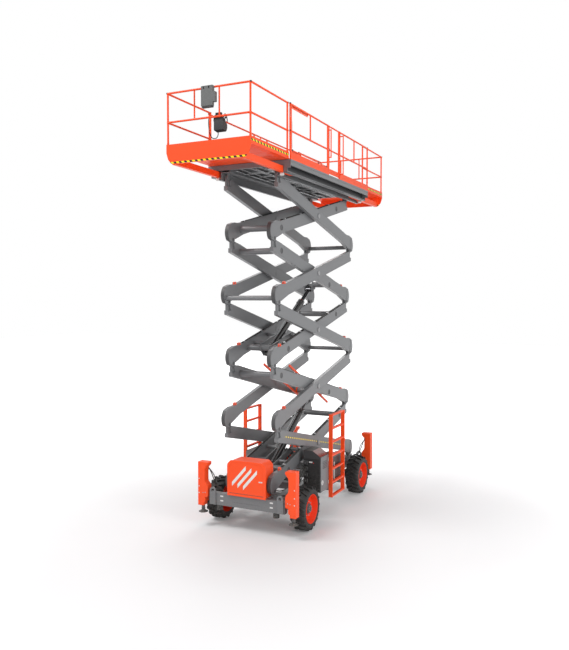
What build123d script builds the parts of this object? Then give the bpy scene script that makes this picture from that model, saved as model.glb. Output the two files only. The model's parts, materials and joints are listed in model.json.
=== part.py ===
"""Rough-terrain scissor lift with a five-level arm stack and two sliding deck extensions.

Millimetres, +Z up. The origin is on the floor under the machine's centre, X runs across and the
front end, with the hood, faces -Y. It stands on its wheels with the platform part way up and both
deck extensions run out.
"""

import math
import os

from build123d import *

os.makedirs("parts", exist_ok=True)

# ---------------------------------------------------------------- driving dimensions
running_gap = 0.3            # between faces that slide or turn against each other
pin_gap = 0.05               # radial, a pin in its bore

# Wheels and axles
track_width = 2000
wheelbase = 3150
tyre_radius = 456
tyre_width = 330
rim_radius = 305
kingpin_offset = 210         # inwards from the wheel's middle
kingpin_radius = 25
axle_depth = 140
axle_end_inset = 150         # of the front beam's ends, from the kingpins
spindle_radius = 60

# Chassis
rail_inner_x = 445
rail_outer_x = 600
rail_wide_x = 640
rail_over_axle = 89          # from the wheels' axis up to the rails' lower edge
rail_top_z = 725
rail_end_y = 2180
cross_member_y = (-1575, -650, 450, 1250)
bumper_half_width = 880
bumper_depth = 120
bumper_bottom_z = 500
bumper_top_z = 750
rib_half_width = 15          # raised rib that the bottom rollers run on
rib_start_y = 80
tie_down_x = 785             # lifting and tie-down lugs on both bumpers
tie_down_z = 805
tie_down_bore = 33
tie_down_radius = 70
tie_down_thickness = 28

# Scissor arms
arm_span = 4263              # between the two end pivots of one arm
pivot_drop = 160             # distance of the end pivots from the arm's centre line
arm_low = -118               # lower and upper edge from the centre line
arm_high = 140
arm_thickness = 86
outer_arm_x = 585            # middle plane of the outer arms
arm_gap = 15                 # between the outer and inner arms' side faces
rest_angle = 17.68           # of the line between an arm's pivots
base_pivot_z = 866
levels = 5
tongue_thickness = 34
ear_gap = 4
ear_radius = 62
tongue_radius = 45
pivot_pin_radius = 28
centre_pin_radius = 40
pin_cap_height = 12
roller_radius = 75
roller_width = 32

# Twin spine plates between the inner beams that carry a cylinder's foot
spine_x = (142, 156)
spine_along = (640, 1760)    # from the bottom pivot
spine_square = (-85, 60)     # off the centre line
spine_tubes = (1000, 1650)
spine_tube_radius = 45

# Maintenance props, stowed across the second inner pair
prop_x = 312
prop_ends = ((-900, 3350), (1300, 2250))   # Y and Z of the ends
prop_thickness = (30, 45)
prop_clamp_wall = 16

# Lift cylinders
barrel_radius = 75
piston_rod_radius = 45
lower_eye = (749, -160)      # pin place on the arm below: along from its bottom pivot, off its centre line
upper_eye = (1194, -150)     # the same on the arm above
eye_radius = 50
eye_half_width = 55
lug_inner_x = 88
lug_thickness = 24
barrel_length = 2060         # from the bottom pin to the mouth
rod_start = 690              # its inner end, from the bottom pin

# Outriggers
outrigger_x = (975, 1140)
outrigger_y = (2175, 2340)
outrigger_z = (455, 1380)
outrigger_lobe_x = 905       # inner edge of the lobes above the bumper
outrigger_lobe_z = ((bumper_top_z + 5, 900), (1270, 1380))
leg_length = 560             # inside the housing
leg_radius = 35
foot_radius = 100
foot_thickness = 45
foot_rest_z = 300

# Side cabinets
cabinet_inner_x = 650
left_cabinet_outer_x = 1050
left_cabinet_y = (-870, -430)
box_over_rail = 55           # from the rails' lower edge up to the boxes' floors
left_cabinet_height = 770    # up to its eaves
left_roof_rise = 130
left_roof_x = 850
right_cabinet_outer_x = 1020
right_cabinet_y = (-450, 850)
right_cabinet_height = 650
tank_y = (-424, 560)
tank_height = 600
wall = 6
door_gap = 4

# Hood
hood_arm_gap = 16            # between its body's sides and the inner arms
hood_y = (-2341, -1900)
hood_z = (750.3, 1490)
hood_face_x = (-428, 470)    # its front panel, a plate in front of the arms
hood_face_depth = 8
hood_body_drop = 12          # of the body's roof below the panel's top
hood_wall = 8
hood_bevel = 85
hood_border = 32
hood_recess = 3

# Ladders
ladder_x = (1040, 1130)
ladder_half_width = 352
ladder_z = (385, 2240)
ladder_stile = 28
rung_count = 7
rung_height = 36

# Platform
deck_half_width = 955
deck_y = (-2175, 2445)
deck_floor_z = 7570
deck_thickness = 40
side_channel_x = (790, 880)  # web's inner face and the lower flange's edge
side_channel_z = (7322, 7530)
side_channel_web = 8
cross_member_z = (7465, 7530)
cross_member_count = 10
track_beam_x = (430, 650)
track_web = 12
track_bottom_z = 7262
toe_board_height = 145
toe_board_thickness = 6
top_rail_z = 8670
mid_rail_z = 8130
rail_radius = 19
gate_y = (-190, 465)
gate_gap = 8

# Deck extensions
extension_half_width = 910
extension_floor_z = (7576, 7590)
extension_ends = {"front": (-3735, -1690), "rear": (3755, 1720)}   # outer end and root
extension_rail_length = 1560
extension_beam_x = (700, 780)
extension_beam_z = (7330, 7450)
apron_low_z = 7350
apron_depth = 45

# Control console inside the front rail and document box outside it; depths from the rail's middle
console_x = (95, 320)
console_depth = 190
console_z = (7870, 8210)
document_box_x = (-95, 210)
document_box_depth = 90
document_box_z = (8290, 8685)

# ---------------------------------------------------------------- derived values
rest = math.radians(rest_angle)
half_span = arm_span / 2
arm_half = math.sqrt(half_span**2 - pivot_drop**2)
arm_tilt = rest - math.asin(pivot_drop / half_span)
pivot_y = half_span * math.cos(rest)
level_rise = arm_span * math.sin(rest)
platform_pivot_z = base_pivot_z + levels * level_rise
axle_z = tyre_radius
wheel_y = wheelbase / 2
wheel_x = track_width / 2
kingpin_x = wheel_x - kingpin_offset
rail_bottom_z = axle_z + rail_over_axle
box_floor_z = rail_bottom_z + box_over_rail
left_cabinet_z = (box_floor_z, box_floor_z + left_cabinet_height)
left_roof_z = left_cabinet_z[1] + left_roof_rise
right_cabinet_z = (box_floor_z, box_floor_z + right_cabinet_height)
tank_z = (box_floor_z, box_floor_z + tank_height)
axle_end_x = kingpin_x - axle_end_inset
inner_arm_x = outer_arm_x - arm_thickness - arm_gap
hood_half_width = inner_arm_x - arm_thickness / 2 - hood_arm_gap
track_top_z = platform_pivot_z + roller_radius + running_gap


def save(part, name):
    """Label a finished piece and write it to its own file."""
    part.part.label = name
    export_step(part.part, f"parts/{name}.step")


def block(x_span, y_span, z_span, mode=Mode.ADD):
    """Add a box between two corners to the part being built."""
    spans = (x_span, y_span, z_span)
    with Locations(tuple((min(span) + max(span)) / 2 for span in spans)):
        Box(*(max(span) - min(span) for span in spans), mode=mode)


def bar(start, end, radius, mode=Mode.ADD):
    """Add a round bar between two points to the part being built."""
    path = Vector(*end) - Vector(*start)
    with Locations(Plane(origin=start, z_dir=path).location):
        Cylinder(radius, path.length, align=(Align.CENTER, Align.CENTER, Align.MIN), mode=mode)


def disc(centre, axis, radius, thickness, mode=Mode.ADD):
    """Add a disc centred on a point, with its axis along a direction."""
    with Locations(Plane(origin=centre, z_dir=axis).location):
        Cylinder(radius, thickness, mode=mode)


def mirrored(span, side):
    """A span of X or Y on one side of the machine."""
    return tuple(side * value for value in span)


# ---------------------------------------------------------------- scissor arms
def arm_plane(level, rise, x=0):
    """Side plane of an arm: local x along it from bottom to top end, local y square to it."""
    middle_z = base_pivot_z + (level - 0.5) * level_rise
    along = (0, rise * math.cos(arm_tilt), math.sin(arm_tilt))
    return Plane(origin=(x, 0, middle_z), x_dir=along, z_dir=(rise, 0, 0))


def pie(centre, radius, start, end):
    """Sector between two polar angles, drawn in the sketch's current line builder."""
    middle = (start + end) / 2
    points = [
        (centre[0] + radius * math.cos(math.radians(a)), centre[1] + radius * math.sin(math.radians(a)))
        for a in (start, middle, end)
    ]
    ThreePointArc(*points)
    Polyline(points[2], centre, points[0])


def add_beam(plane, stop_block=True):
    """One box beam of an arm pair: rounded forked bottom end, tongue at the top end."""
    foot = (-arm_half, -pivot_drop)
    head = (arm_half, pivot_drop)
    with BuildSketch(plane) as side:
        with BuildLine():
            crown = (foot[0] - 35, arm_high + 35)
            bulge = (foot[0] - 168, foot[1] + 170)
            corner = (foot[0] - 140, foot[1] + 10)
            Polyline(
                corner,
                (foot[0] - 40, foot[1] - 40),
                (foot[0] + 60, foot[1] - 2),
                (foot[0] + 110, foot[1] - 2),
                (foot[0] + 470, arm_low),
                (head[0], arm_low),
                (head[0] + 60, head[1] - 20),
                (head[0] + 40, arm_high),
                (foot[0] + 330, arm_high),
                (foot[0] + 130, arm_high + 42),
                crown,
            )
            ThreePointArc(crown, bulge, corner)
        make_face()
        with Locations(foot):
            Circle(ear_radius)
    extrude(side.sketch, amount=arm_thickness / 2, both=True)
    # Fork: the middle slice is open round the bottom pivot.
    with BuildSketch(plane) as slot:
        with Locations((foot[0] - 60, foot[1] + 25)):
            Rectangle(290, 190)
        with Locations(foot):
            Circle(88)
    extrude(slot.sketch, amount=tongue_thickness / 2 + ear_gap, both=True, mode=Mode.SUBTRACT)
    # Tongue: the outer slices stand back from the top pivot.
    for facing in (-1, 1):
        face = plane.offset(facing * tongue_thickness / 2)
        with BuildSketch(face) as relief:
            with BuildLine():
                pie(head, 192, -122, 36)
            make_face()
            with Locations(head):
                Circle(82)
        extrude(relief.sketch, amount=facing * arm_thickness, mode=Mode.SUBTRACT)
    with BuildSketch(plane) as tongue:
        with BuildLine():
            Polyline(
                (head[0] - 70, arm_high - 60),
                (head[0] + 45, arm_high - 60),
                (head[0] + tongue_radius, head[1]),
                (head[0] - tongue_radius, head[1]),
                (head[0] - 70, arm_high - 5),
                close=True,
            )
        make_face()
        with Locations(head):
            Circle(tongue_radius)
    extrude(tongue.sketch, amount=tongue_thickness / 2, both=True)
    if stop_block:
        # Rubber stop on the upper edge, where the stack closes on it.
        with BuildSketch(plane) as stop:
            with Locations((foot[0] + 375, arm_high + 20)):
                Rectangle(70, 44)
        extrude(stop.sketch, amount=28, both=True)


def bore_beam(plane, at, radius):
    """Drill a beam right through at a point of its side plane."""
    with BuildSketch(plane) as hole:
        with Locations(at):
            Circle(radius)
    extrude(hole.sketch, amount=arm_thickness, both=True, mode=Mode.SUBTRACT)


def add_pin(plane, at, radius, half_length, middle=0):
    """Add a pin square to the arm's side plane."""
    with BuildSketch(plane.offset(middle)) as section:
        with Locations(at):
            Circle(radius)
    extrude(section.sketch, amount=half_length, both=True)


def add_lugs(plane, eye, root_half):
    """Pair of plates that hang from a cross tube to a cylinder's pin."""
    for side in (-1, 1):
        with BuildSketch(plane.offset(side * (lug_inner_x + lug_thickness / 2))) as lug:
            with BuildLine():
                Polyline(
                    (eye[0] - root_half, 30), (eye[0] + 70, 30), (eye[0] + eye_radius, eye[1]),
                    (eye[0] - eye_radius, eye[1]), (eye[0] - root_half, -60), close=True,
                )
            make_face()
            with Locations(eye):
                Circle(eye_radius)
        extrude(lug.sketch, amount=lug_thickness / 2, both=True)


def add_spine(level, rise):
    """Twin plates along the middle of an inner pair, tied to its beams by short tubes."""
    for side in (-1, 1):
        centre_plane = arm_plane(level, rise)
        plate_middle = side * sum(spine_x) / 2
        along_middle = sum(spine_along) / 2 - arm_half
        with BuildSketch(centre_plane.offset(plate_middle)) as plate:
            with Locations((along_middle, sum(spine_square) / 2)):
                RectangleRounded(spine_along[1] - spine_along[0], spine_square[1] - spine_square[0], 40)
        extrude(plate.sketch, amount=(spine_x[1] - spine_x[0]) / 2, both=True)
        half_length = (inner_arm_x - arm_thickness / 2 - spine_x[1]) / 2 + 1
        tube_middle = side * (spine_x[1] + inner_arm_x - arm_thickness / 2) / 2
        for along in spine_tubes:
            add_pin(centre_plane, (along - arm_half, 0), spine_tube_radius, half_length, tube_middle)


foot_pivot = (-arm_half, -pivot_drop)
head_pivot = (arm_half, pivot_drop)
tube_radius = 65
eye_pin_radius = 30
outer_tube = (foot_pivot[0] - 85, foot_pivot[1] + 100)
outer_tube_radius = 50

# Cross tubes of the inner pairs: level, then (along from the bottom pivot, square) for each.
inner_tubes = {
    1: ((700, -20), (3762, 20)),
    2: ((1194, -30), (3900, 0)),
    3: ((700, -20), (3500, 20)),
    4: ((1194, -30), (3890, 0)),
    5: ((360, 0), (3500, 0)),
}
lower_lug_levels = (1, 3)
upper_lug_levels = (2, 4)

for level in range(1, levels + 1):
    inner_rise = 1 if level % 2 else -1
    outer_rise = -inner_rise
    has_stop = level < levels

    with BuildPart() as inner_arm:
        for side in (-1, 1):
            plane = arm_plane(level, inner_rise, side * inner_arm_x)
            add_beam(plane, has_stop)
        centre_plane = arm_plane(level, inner_rise)
        for along, square in inner_tubes[level]:
            tube_at = (along - arm_half, square)
            if level in upper_lug_levels and along == upper_eye[0]:
                # This tube is open in the middle, so the cylinder's rod can come up between the lugs.
                half_length = (inner_arm_x - lug_inner_x) / 2
                for side in (-1, 1):
                    add_pin(centre_plane, tube_at, tube_radius, half_length,
                            side * (lug_inner_x + half_length))
            else:
                add_pin(centre_plane, tube_at, tube_radius, inner_arm_x)
        if level in lower_lug_levels:
            eye = (lower_eye[0] - arm_half, lower_eye[1])
            add_lugs(centre_plane, eye, 130)
            add_pin(centre_plane, eye, eye_pin_radius, lug_inner_x + lug_thickness)
        if level in upper_lug_levels:
            eye = (upper_eye[0] - arm_half, upper_eye[1])
            add_lugs(centre_plane, eye, 124)
            # Saddle plate that joins the lugs behind the rod.
            with BuildSketch(centre_plane) as saddle:
                with Locations((eye[0] - 112, -40)):
                    Rectangle(24, 140)
            extrude(saddle.sketch, amount=lug_inner_x + lug_thickness, both=True)
        if level in lower_lug_levels:
            add_spine(level, inner_rise)
        for side in (-1, 1):
            plane = arm_plane(level, inner_rise, side * inner_arm_x)
            # The centre is bored for the outer arm's pin; the foot carries its own pin.
            bore_beam(plane, (0, 0), centre_pin_radius + pin_gap)
            add_pin(plane, foot_pivot, pivot_pin_radius, arm_thickness / 2)
            if level < levels:
                bore_beam(plane, head_pivot, pivot_pin_radius + pin_gap)
            else:
                add_pin(plane, head_pivot, pivot_pin_radius, arm_thickness / 2 - 2)
                for facing in (-1, 1):
                    add_pin(plane, head_pivot, roller_radius, 10, facing * (arm_thickness / 2 - 12))
    save(inner_arm, f"inner_arm_{level}")

    with BuildPart() as outer_arm:
        for side in (-1, 1):
            plane = arm_plane(level, outer_rise, side * outer_arm_x)
            add_beam(plane, has_stop)
        centre_plane = arm_plane(level, outer_rise)
        if level != 2:
            # The pair over the hood has no cross tube.
            add_pin(centre_plane, outer_tube, outer_tube_radius, outer_arm_x - arm_thickness / 2 + 1)
        for side in (-1, 1):
            plane = arm_plane(level, outer_rise, side * outer_arm_x)
            # Centre pin, fixed here and turning in the inner arm, with its cap outside.
            pin_end = arm_thickness + outer_arm_x - inner_arm_x
            facing = side * outer_rise
            with BuildSketch(plane.offset(facing * (arm_thickness / 2 + pin_cap_height))) as pin:
                Circle(centre_pin_radius)
            extrude(pin.sketch, amount=-facing * (pin_end + pin_cap_height + 2))
            add_pin(plane, foot_pivot, pivot_pin_radius, arm_thickness / 2)
            if level == 1:
                add_pin(plane, foot_pivot, roller_radius, roller_width / 2)
            bore_beam(plane, head_pivot, pivot_pin_radius + pin_gap)
    save(outer_arm, f"outer_arm_{level}")

# ---------------------------------------------------------------- lift cylinders
def eye_point(level, rise, eye):
    """Place of a cylinder pin in the side view, from its arm's own measures."""
    plane = arm_plane(level, rise)
    return plane.from_local_coords(Vector(eye[0] - arm_half, eye[1], 0))


for name, level in (("lower", 1), ("upper", 3)):
    bottom = eye_point(level, 1, lower_eye)
    top = eye_point(level + 1, -1, upper_eye)
    line = (top - bottom).normalized()
    barrel_start = bottom + line * eye_radius
    barrel_end = bottom + line * barrel_length
    with BuildPart() as barrel:
        bar(barrel_start, barrel_end, barrel_radius)
        disc(bottom, (1, 0, 0), eye_radius + 8, 2 * eye_half_width)
        disc(bottom, (1, 0, 0), eye_pin_radius + pin_gap, 3 * eye_half_width, mode=Mode.SUBTRACT)
        bar(bottom + line * 2.5 * eye_radius, barrel_end + line,
            piston_rod_radius + pin_gap, mode=Mode.SUBTRACT)
    save(barrel, f"{name}_cylinder_barrel")
    with BuildPart() as piston_rod:
        bar(bottom + line * rod_start, top, piston_rod_radius)
        disc(top, (1, 0, 0), eye_radius + 8, 2 * eye_half_width)
        # Its pin ends just inside the lugs.
        disc(top, (1, 0, 0), eye_pin_radius + 6, 2 * (lug_inner_x - running_gap))
    save(piston_rod, f"{name}_cylinder_rod")

# ---------------------------------------------------------------- maintenance props
with BuildPart() as maintenance_props:
    (low_y, high_z), (high_y, low_z) = prop_ends
    run = Vector(0, high_y - low_y, low_z - high_z)
    tube_plane = arm_plane(2, -1)
    tube_at = tube_plane.from_local_coords(Vector(inner_tubes[2][0][0] - arm_half, inner_tubes[2][0][1], 0))
    for side in (-1, 1):
        middle = Vector(side * prop_x, (low_y + high_y) / 2, (high_z + low_z) / 2)
        with Locations(Plane(origin=middle, x_dir=run, z_dir=(1, 0, 0)).location):
            Box(run.length, prop_thickness[1], prop_thickness[0])
        # Clamp round the pair's cross tube, tied down to the prop.
        clamp_at = (side * prop_x, tube_at.Y, tube_at.Z)
        disc(clamp_at, (1, 0, 0), tube_radius + prop_clamp_wall, prop_thickness[0])
        disc(clamp_at, (1, 0, 0), tube_radius + running_gap, prop_thickness[0] + 2, mode=Mode.SUBTRACT)
save(maintenance_props, "maintenance_props")

# ---------------------------------------------------------------- wheels, axles and steering
wheel_places = (
    ("front_left", 1, -1), ("front_right", -1, -1), ("rear_left", 1, 1), ("rear_right", -1, 1),
)
disc_x = wheel_x + 40        # mid-plane of the wheel disc
for name, side, end in wheel_places:
    centre = (side * wheel_x, end * wheel_y, axle_z)
    with BuildPart() as tyre:
        disc(centre, (1, 0, 0), tyre_radius, tyre_width)
        fillet(tyre.edges().filter_by(GeomType.CIRCLE), 45)
        disc(centre, (1, 0, 0), rim_radius, tyre_width + 2, mode=Mode.SUBTRACT)
    save(tyre, f"tyre_{name}")

    with BuildPart() as rim:
        disc(centre, (1, 0, 0), rim_radius - running_gap, tyre_width - 20)
        disc(centre, (1, 0, 0), rim_radius - 22, tyre_width, mode=Mode.SUBTRACT)
        disc((side * disc_x, centre[1], axle_z), (1, 0, 0), rim_radius - 10, 24)
        disc((side * (disc_x + 30), centre[1], axle_z), (1, 0, 0), 105, 60)
        disc((side * (disc_x - 50), centre[1], axle_z), (1, 0, 0), 120, 90)
        bar((side * (wheel_x - 100), centre[1], axle_z), (side * (disc_x - 15), centre[1], axle_z),
            spindle_radius + pin_gap, mode=Mode.SUBTRACT)
    save(rim, f"rim_{name}")

knuckle_half_height = 65
yoke_thickness = 30
for name, side in (("left", 1), ("right", -1)):
    pin_at = (side * kingpin_x, -wheel_y)
    with BuildPart() as knuckle:
        block(mirrored((kingpin_x - 50, kingpin_x + 90), side), (-wheel_y - 60, -wheel_y + 60),
              (axle_z - knuckle_half_height, axle_z + knuckle_half_height))
        bar((side * kingpin_x, -wheel_y, axle_z),
            (side * (disc_x - 15.5), -wheel_y, axle_z), spindle_radius)
        bar((*pin_at, 0), (*pin_at, 2 * axle_z), kingpin_radius + pin_gap, mode=Mode.SUBTRACT)
    save(knuckle, f"steering_knuckle_{name}")

with BuildPart() as front_axle:
    block((-axle_end_x, axle_end_x), (-wheel_y - 70, -wheel_y + 70),
          (axle_z - axle_depth / 2, axle_z + axle_depth / 2))
    for side in (-1, 1):
        for face in (-1, 1):
            near = axle_z + face * (knuckle_half_height + running_gap)
            far = near + face * yoke_thickness
            block(mirrored((axle_end_x, kingpin_x + 50), side), (-wheel_y - 50, -wheel_y + 50), (near, far))
        block(mirrored((axle_end_x, axle_end_x + 60), side), (-wheel_y - 50, -wheel_y + 50),
              (axle_z - 95, axle_z + 95))
        bar((side * kingpin_x, -wheel_y, axle_z - 90),
            (side * kingpin_x, -wheel_y, axle_z + 90), kingpin_radius)
        block(mirrored((470, 575), side), (-wheel_y - 80, -wheel_y + 80),
              (axle_z + 60, rail_bottom_z - running_gap))
save(front_axle, "front_axle")

with BuildPart() as rear_axle:
    block((-700, 700), (wheel_y - 80, wheel_y + 80), (axle_z - 80, axle_z + 80))
    disc((0, wheel_y, axle_z), (0, 1, 0), 170, 260)
    for side in (-1, 1):
        bar((side * 690, wheel_y, axle_z), (side * (disc_x - 97), wheel_y, axle_z), 90)
        bar((side * 700, wheel_y, axle_z), (side * (disc_x - 15.5), wheel_y, axle_z), spindle_radius)
        block(mirrored((470, 575), side), (wheel_y - 80, wheel_y + 80),
              (axle_z + 60, rail_bottom_z - running_gap))
save(rear_axle, "rear_axle")

# ---------------------------------------------------------------- chassis
rib_x = (outer_arm_x - rib_half_width, outer_arm_x + rib_half_width)
rib_top_z = base_pivot_z - roller_radius - running_gap
pivot_plate_x = (inner_arm_x - tongue_thickness / 2, inner_arm_x + tongue_thickness / 2)
for name, side in (("left", 1), ("right", -1)):
    with BuildPart() as chassis_rail:
        block(mirrored((rail_inner_x, rail_outer_x), side), (-rail_end_y, rail_end_y),
              (rail_bottom_z, rail_top_z))
        block(mirrored((rail_inner_x, rail_wide_x), side), (-700, rail_end_y), (rail_bottom_z, rail_top_z))
        # Raised rib for the outer arms' bottom rollers, which runs on over the bumper.
        block(mirrored(rib_x, side), (rib_start_y, rail_end_y), (rail_top_z - 1, rib_top_z))
        block(mirrored(rib_x, side), (rail_end_y - 1, rail_end_y + bumper_depth), (bumper_top_z, rib_top_z))
        # Fixed pivot plate of the inner arms.
        block(mirrored(pivot_plate_x, side), (-pivot_y - 50, -pivot_y + 50), (rail_top_z - 1, base_pivot_z))
        disc((side * inner_arm_x, -pivot_y, base_pivot_z), (1, 0, 0), 50, tongue_thickness)
        disc((side * inner_arm_x, -pivot_y, base_pivot_z), (1, 0, 0), pivot_pin_radius + pin_gap,
             tongue_thickness + 2, mode=Mode.SUBTRACT)
        # Brackets that carry the side cabinets and the ladders.
        for end in (-1, 1):
            stile_y = end * (ladder_half_width + ladder_stile / 2)
            block(mirrored((rail_wide_x - 2, ladder_x[0]), side), (stile_y - 30, stile_y + 30),
                  (rail_bottom_z, left_cabinet_z[0] - running_gap))
    save(chassis_rail, f"{name}_chassis_rail")

with BuildPart() as cross_members:
    for y in cross_member_y:
        block((-rail_inner_x, rail_inner_x), (y - 70, y + 70), (rail_bottom_z, rail_top_z - 30))
save(cross_members, "cross_members")

for name, end in (("front", -1), ("rear", 1)):
    lug_face_y = rail_end_y + bumper_depth
    with BuildPart() as bumper:
        block((-bumper_half_width, bumper_half_width), mirrored((rail_end_y, lug_face_y), end),
              (bumper_bottom_z, bumper_top_z))
        for side in (-1, 1):
            lug_middle_y = end * (lug_face_y + tie_down_thickness / 2)
            block(mirrored((tie_down_x - tie_down_radius, tie_down_x + tie_down_radius), side),
                  mirrored((lug_face_y - 1, lug_face_y + tie_down_thickness), end),
                  (bumper_bottom_z + 5, tie_down_z - 5))
            disc((side * tie_down_x, lug_middle_y, tie_down_z - 5), (0, 1, 0),
                 tie_down_radius, tie_down_thickness)
            disc((side * tie_down_x, lug_middle_y, tie_down_z), (0, 1, 0), tie_down_bore,
                 2 * tie_down_thickness, mode=Mode.SUBTRACT)
    save(bumper, f"{name}_bumper")

with BuildPart() as outrigger_housings:
    for side in (-1, 1):
        for end in (-1, 1):
            block(mirrored(outrigger_x, side), mirrored(outrigger_y, end), outrigger_z)
            # Bolted to the bumper's end, with a lobe over it and one at the top.
            block(mirrored((bumper_half_width, outrigger_x[0] + 1), side), mirrored(outrigger_y, end),
                  (bumper_bottom_z + 60, outrigger_lobe_z[0][0]))
            for lobe_z in outrigger_lobe_z:
                block(mirrored((outrigger_lobe_x, outrigger_x[0] + 1), side),
                      mirrored(outrigger_y, end), lobe_z)
            leg_at = (side * sum(outrigger_x) / 2, end * sum(outrigger_y) / 2)
            bar((*leg_at, outrigger_z[0] - 1), (*leg_at, outrigger_z[1] - 60),
                leg_radius + 5, mode=Mode.SUBTRACT)
save(outrigger_housings, "outrigger_housings")

for name, side, end in wheel_places:
    leg_at = (side * sum(outrigger_x) / 2, end * sum(outrigger_y) / 2)
    with BuildPart() as leg:
        bar((*leg_at, foot_rest_z), (*leg_at, foot_rest_z + foot_thickness), foot_radius)
        leg_top_z = outrigger_z[0] + leg_length
        bar((*leg_at, foot_rest_z), (*leg_at, leg_top_z), leg_radius)
        bar((*leg_at, leg_top_z - 60), (*leg_at, leg_top_z), leg_radius + 5 - running_gap)
    save(leg, f"outrigger_leg_{name}")

# ---------------------------------------------------------------- cabinets, engine and hood
def cross_plane(y):
    """Plane across the machine: local x along X, local y up, facing the front end."""
    return Plane(origin=(0, y, 0), x_dir=(1, 0, 0), z_dir=(0, -1, 0))


def add_profile(points, y_span, mode=Mode.ADD):
    """Extrude an outline in X and Z between two places along the machine."""
    with BuildSketch(cross_plane(min(y_span))) as outline:
        with BuildLine():
            Polyline(*points, close=True)
        make_face()
    extrude(outline.sketch, amount=-(max(y_span) - min(y_span)), mode=mode)


with BuildPart() as left_cabinet:
    low_z, eaves_z = left_cabinet_z
    add_profile(
        ((cabinet_inner_x, low_z), (left_cabinet_outer_x, low_z), (left_cabinet_outer_x, eaves_z),
         (left_roof_x, left_roof_z), (cabinet_inner_x, left_roof_z)),
        left_cabinet_y,
    )
    inside_y = (left_cabinet_y[0] + wall, left_cabinet_y[1] - wall)
    add_profile(
        ((cabinet_inner_x + wall, low_z + wall), (left_cabinet_outer_x + 1, low_z + wall),
         (left_cabinet_outer_x + 1, eaves_z - wall), (left_roof_x, left_roof_z - 1.3 * wall),
         (cabinet_inner_x + wall, left_roof_z - 1.3 * wall)),
        inside_y, mode=Mode.SUBTRACT,
    )
save(left_cabinet, "left_cabinet")

with BuildPart() as left_cabinet_door:
    skin_x = left_cabinet_outer_x + running_gap
    block((skin_x, skin_x + wall), (left_cabinet_y[0] + door_gap, left_cabinet_y[1] - door_gap),
          (left_cabinet_z[0] + door_gap, left_cabinet_z[1] - door_gap))
save(left_cabinet_door, "left_cabinet_door")

with BuildPart() as fuel_tank:
    block((cabinet_inner_x, right_cabinet_outer_x), tank_y, tank_z)
    fillet(fuel_tank.edges().filter_by(Axis.X), 30)
save(fuel_tank, "fuel_tank")

with BuildPart() as right_cabinet:
    block((-right_cabinet_outer_x, -cabinet_inner_x), right_cabinet_y, right_cabinet_z)
    block((-right_cabinet_outer_x + wall, -cabinet_inner_x - wall),
          (right_cabinet_y[0] + wall, right_cabinet_y[1] - wall),
          (right_cabinet_z[0] + wall, right_cabinet_z[1] + 1), mode=Mode.SUBTRACT)
save(right_cabinet, "right_cabinet")

with BuildPart() as right_cabinet_lid:
    lid_z = right_cabinet_z[1] + running_gap
    block((-right_cabinet_outer_x + 2, -cabinet_inner_x - 2),
          (right_cabinet_y[0] + 2, right_cabinet_y[1] - 2),
          (lid_z, lid_z + wall))
save(right_cabinet_lid, "right_cabinet_lid")

with BuildPart() as engine_block:
    block((-right_cabinet_outer_x + 40, -cabinet_inner_x - 30), (-300, 560),
          (right_cabinet_z[0] + wall + running_gap, right_cabinet_z[1] - 40))
save(engine_block, "engine_block")


def hood_outline(x_span, inset, low_z, high_z=hood_z[1]):
    """Front outline of the hood: a rectangle with its top corners cut."""
    low_x, high_x = x_span[0] + inset, x_span[1] - inset
    high = high_z - inset
    cut = hood_bevel - 0.4 * inset
    return ((low_x, low_z), (high_x, low_z), (high_x, high - cut), (high_x - cut, high),
            (low_x + cut, high), (low_x, high - cut))


with BuildPart() as front_hood:
    body_x = (-hood_half_width, hood_half_width)
    body_top_z = hood_z[1] - hood_body_drop
    add_profile(hood_outline(hood_face_x, 0, hood_z[0]), (hood_y[0], hood_y[0] + hood_face_depth))
    add_profile(hood_outline(body_x, 0, hood_z[0], body_top_z), (hood_y[0] + hood_wall, hood_y[1]))
    add_profile(hood_outline(body_x, hood_wall, hood_z[0] - 1, body_top_z),
                (hood_y[0] + hood_wall, hood_y[1] - hood_wall), mode=Mode.SUBTRACT)
    # The front panel lies back from its border.
    add_profile(hood_outline(hood_face_x, hood_border, hood_z[0] + hood_border),
                (hood_y[0] - 1, hood_y[0] + hood_recess), mode=Mode.SUBTRACT)
save(front_hood, "front_hood")

# ---------------------------------------------------------------- ladders
with BuildPart() as ladders:
    rung_pitch = (ladder_z[1] - ladder_z[0] - rung_height) / (rung_count - 1)
    for side in (-1, 1):
        stile_x = (ladder_x[0] + running_gap, ladder_x[1])
        for end in (-1, 1):
            block(mirrored(stile_x, side),
                  mirrored((ladder_half_width, ladder_half_width + ladder_stile), end), ladder_z)
        for index in range(rung_count):
            low = ladder_z[0] + index * rung_pitch
            block(mirrored((ladder_x[0] + 12, ladder_x[1] - 12), side),
                  (-ladder_half_width - 1, ladder_half_width + 1), (low, low + rung_height))
save(ladders, "ladders")

# ---------------------------------------------------------------- platform
rail_x = deck_half_width - rail_radius
gate_stile_radius = rail_radius - 1
gate_stiles = (gate_y[0] + gate_gap + gate_stile_radius, gate_y[1] - gate_gap - gate_stile_radius)
gate_low_z = extension_floor_z[1] + 10

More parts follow.
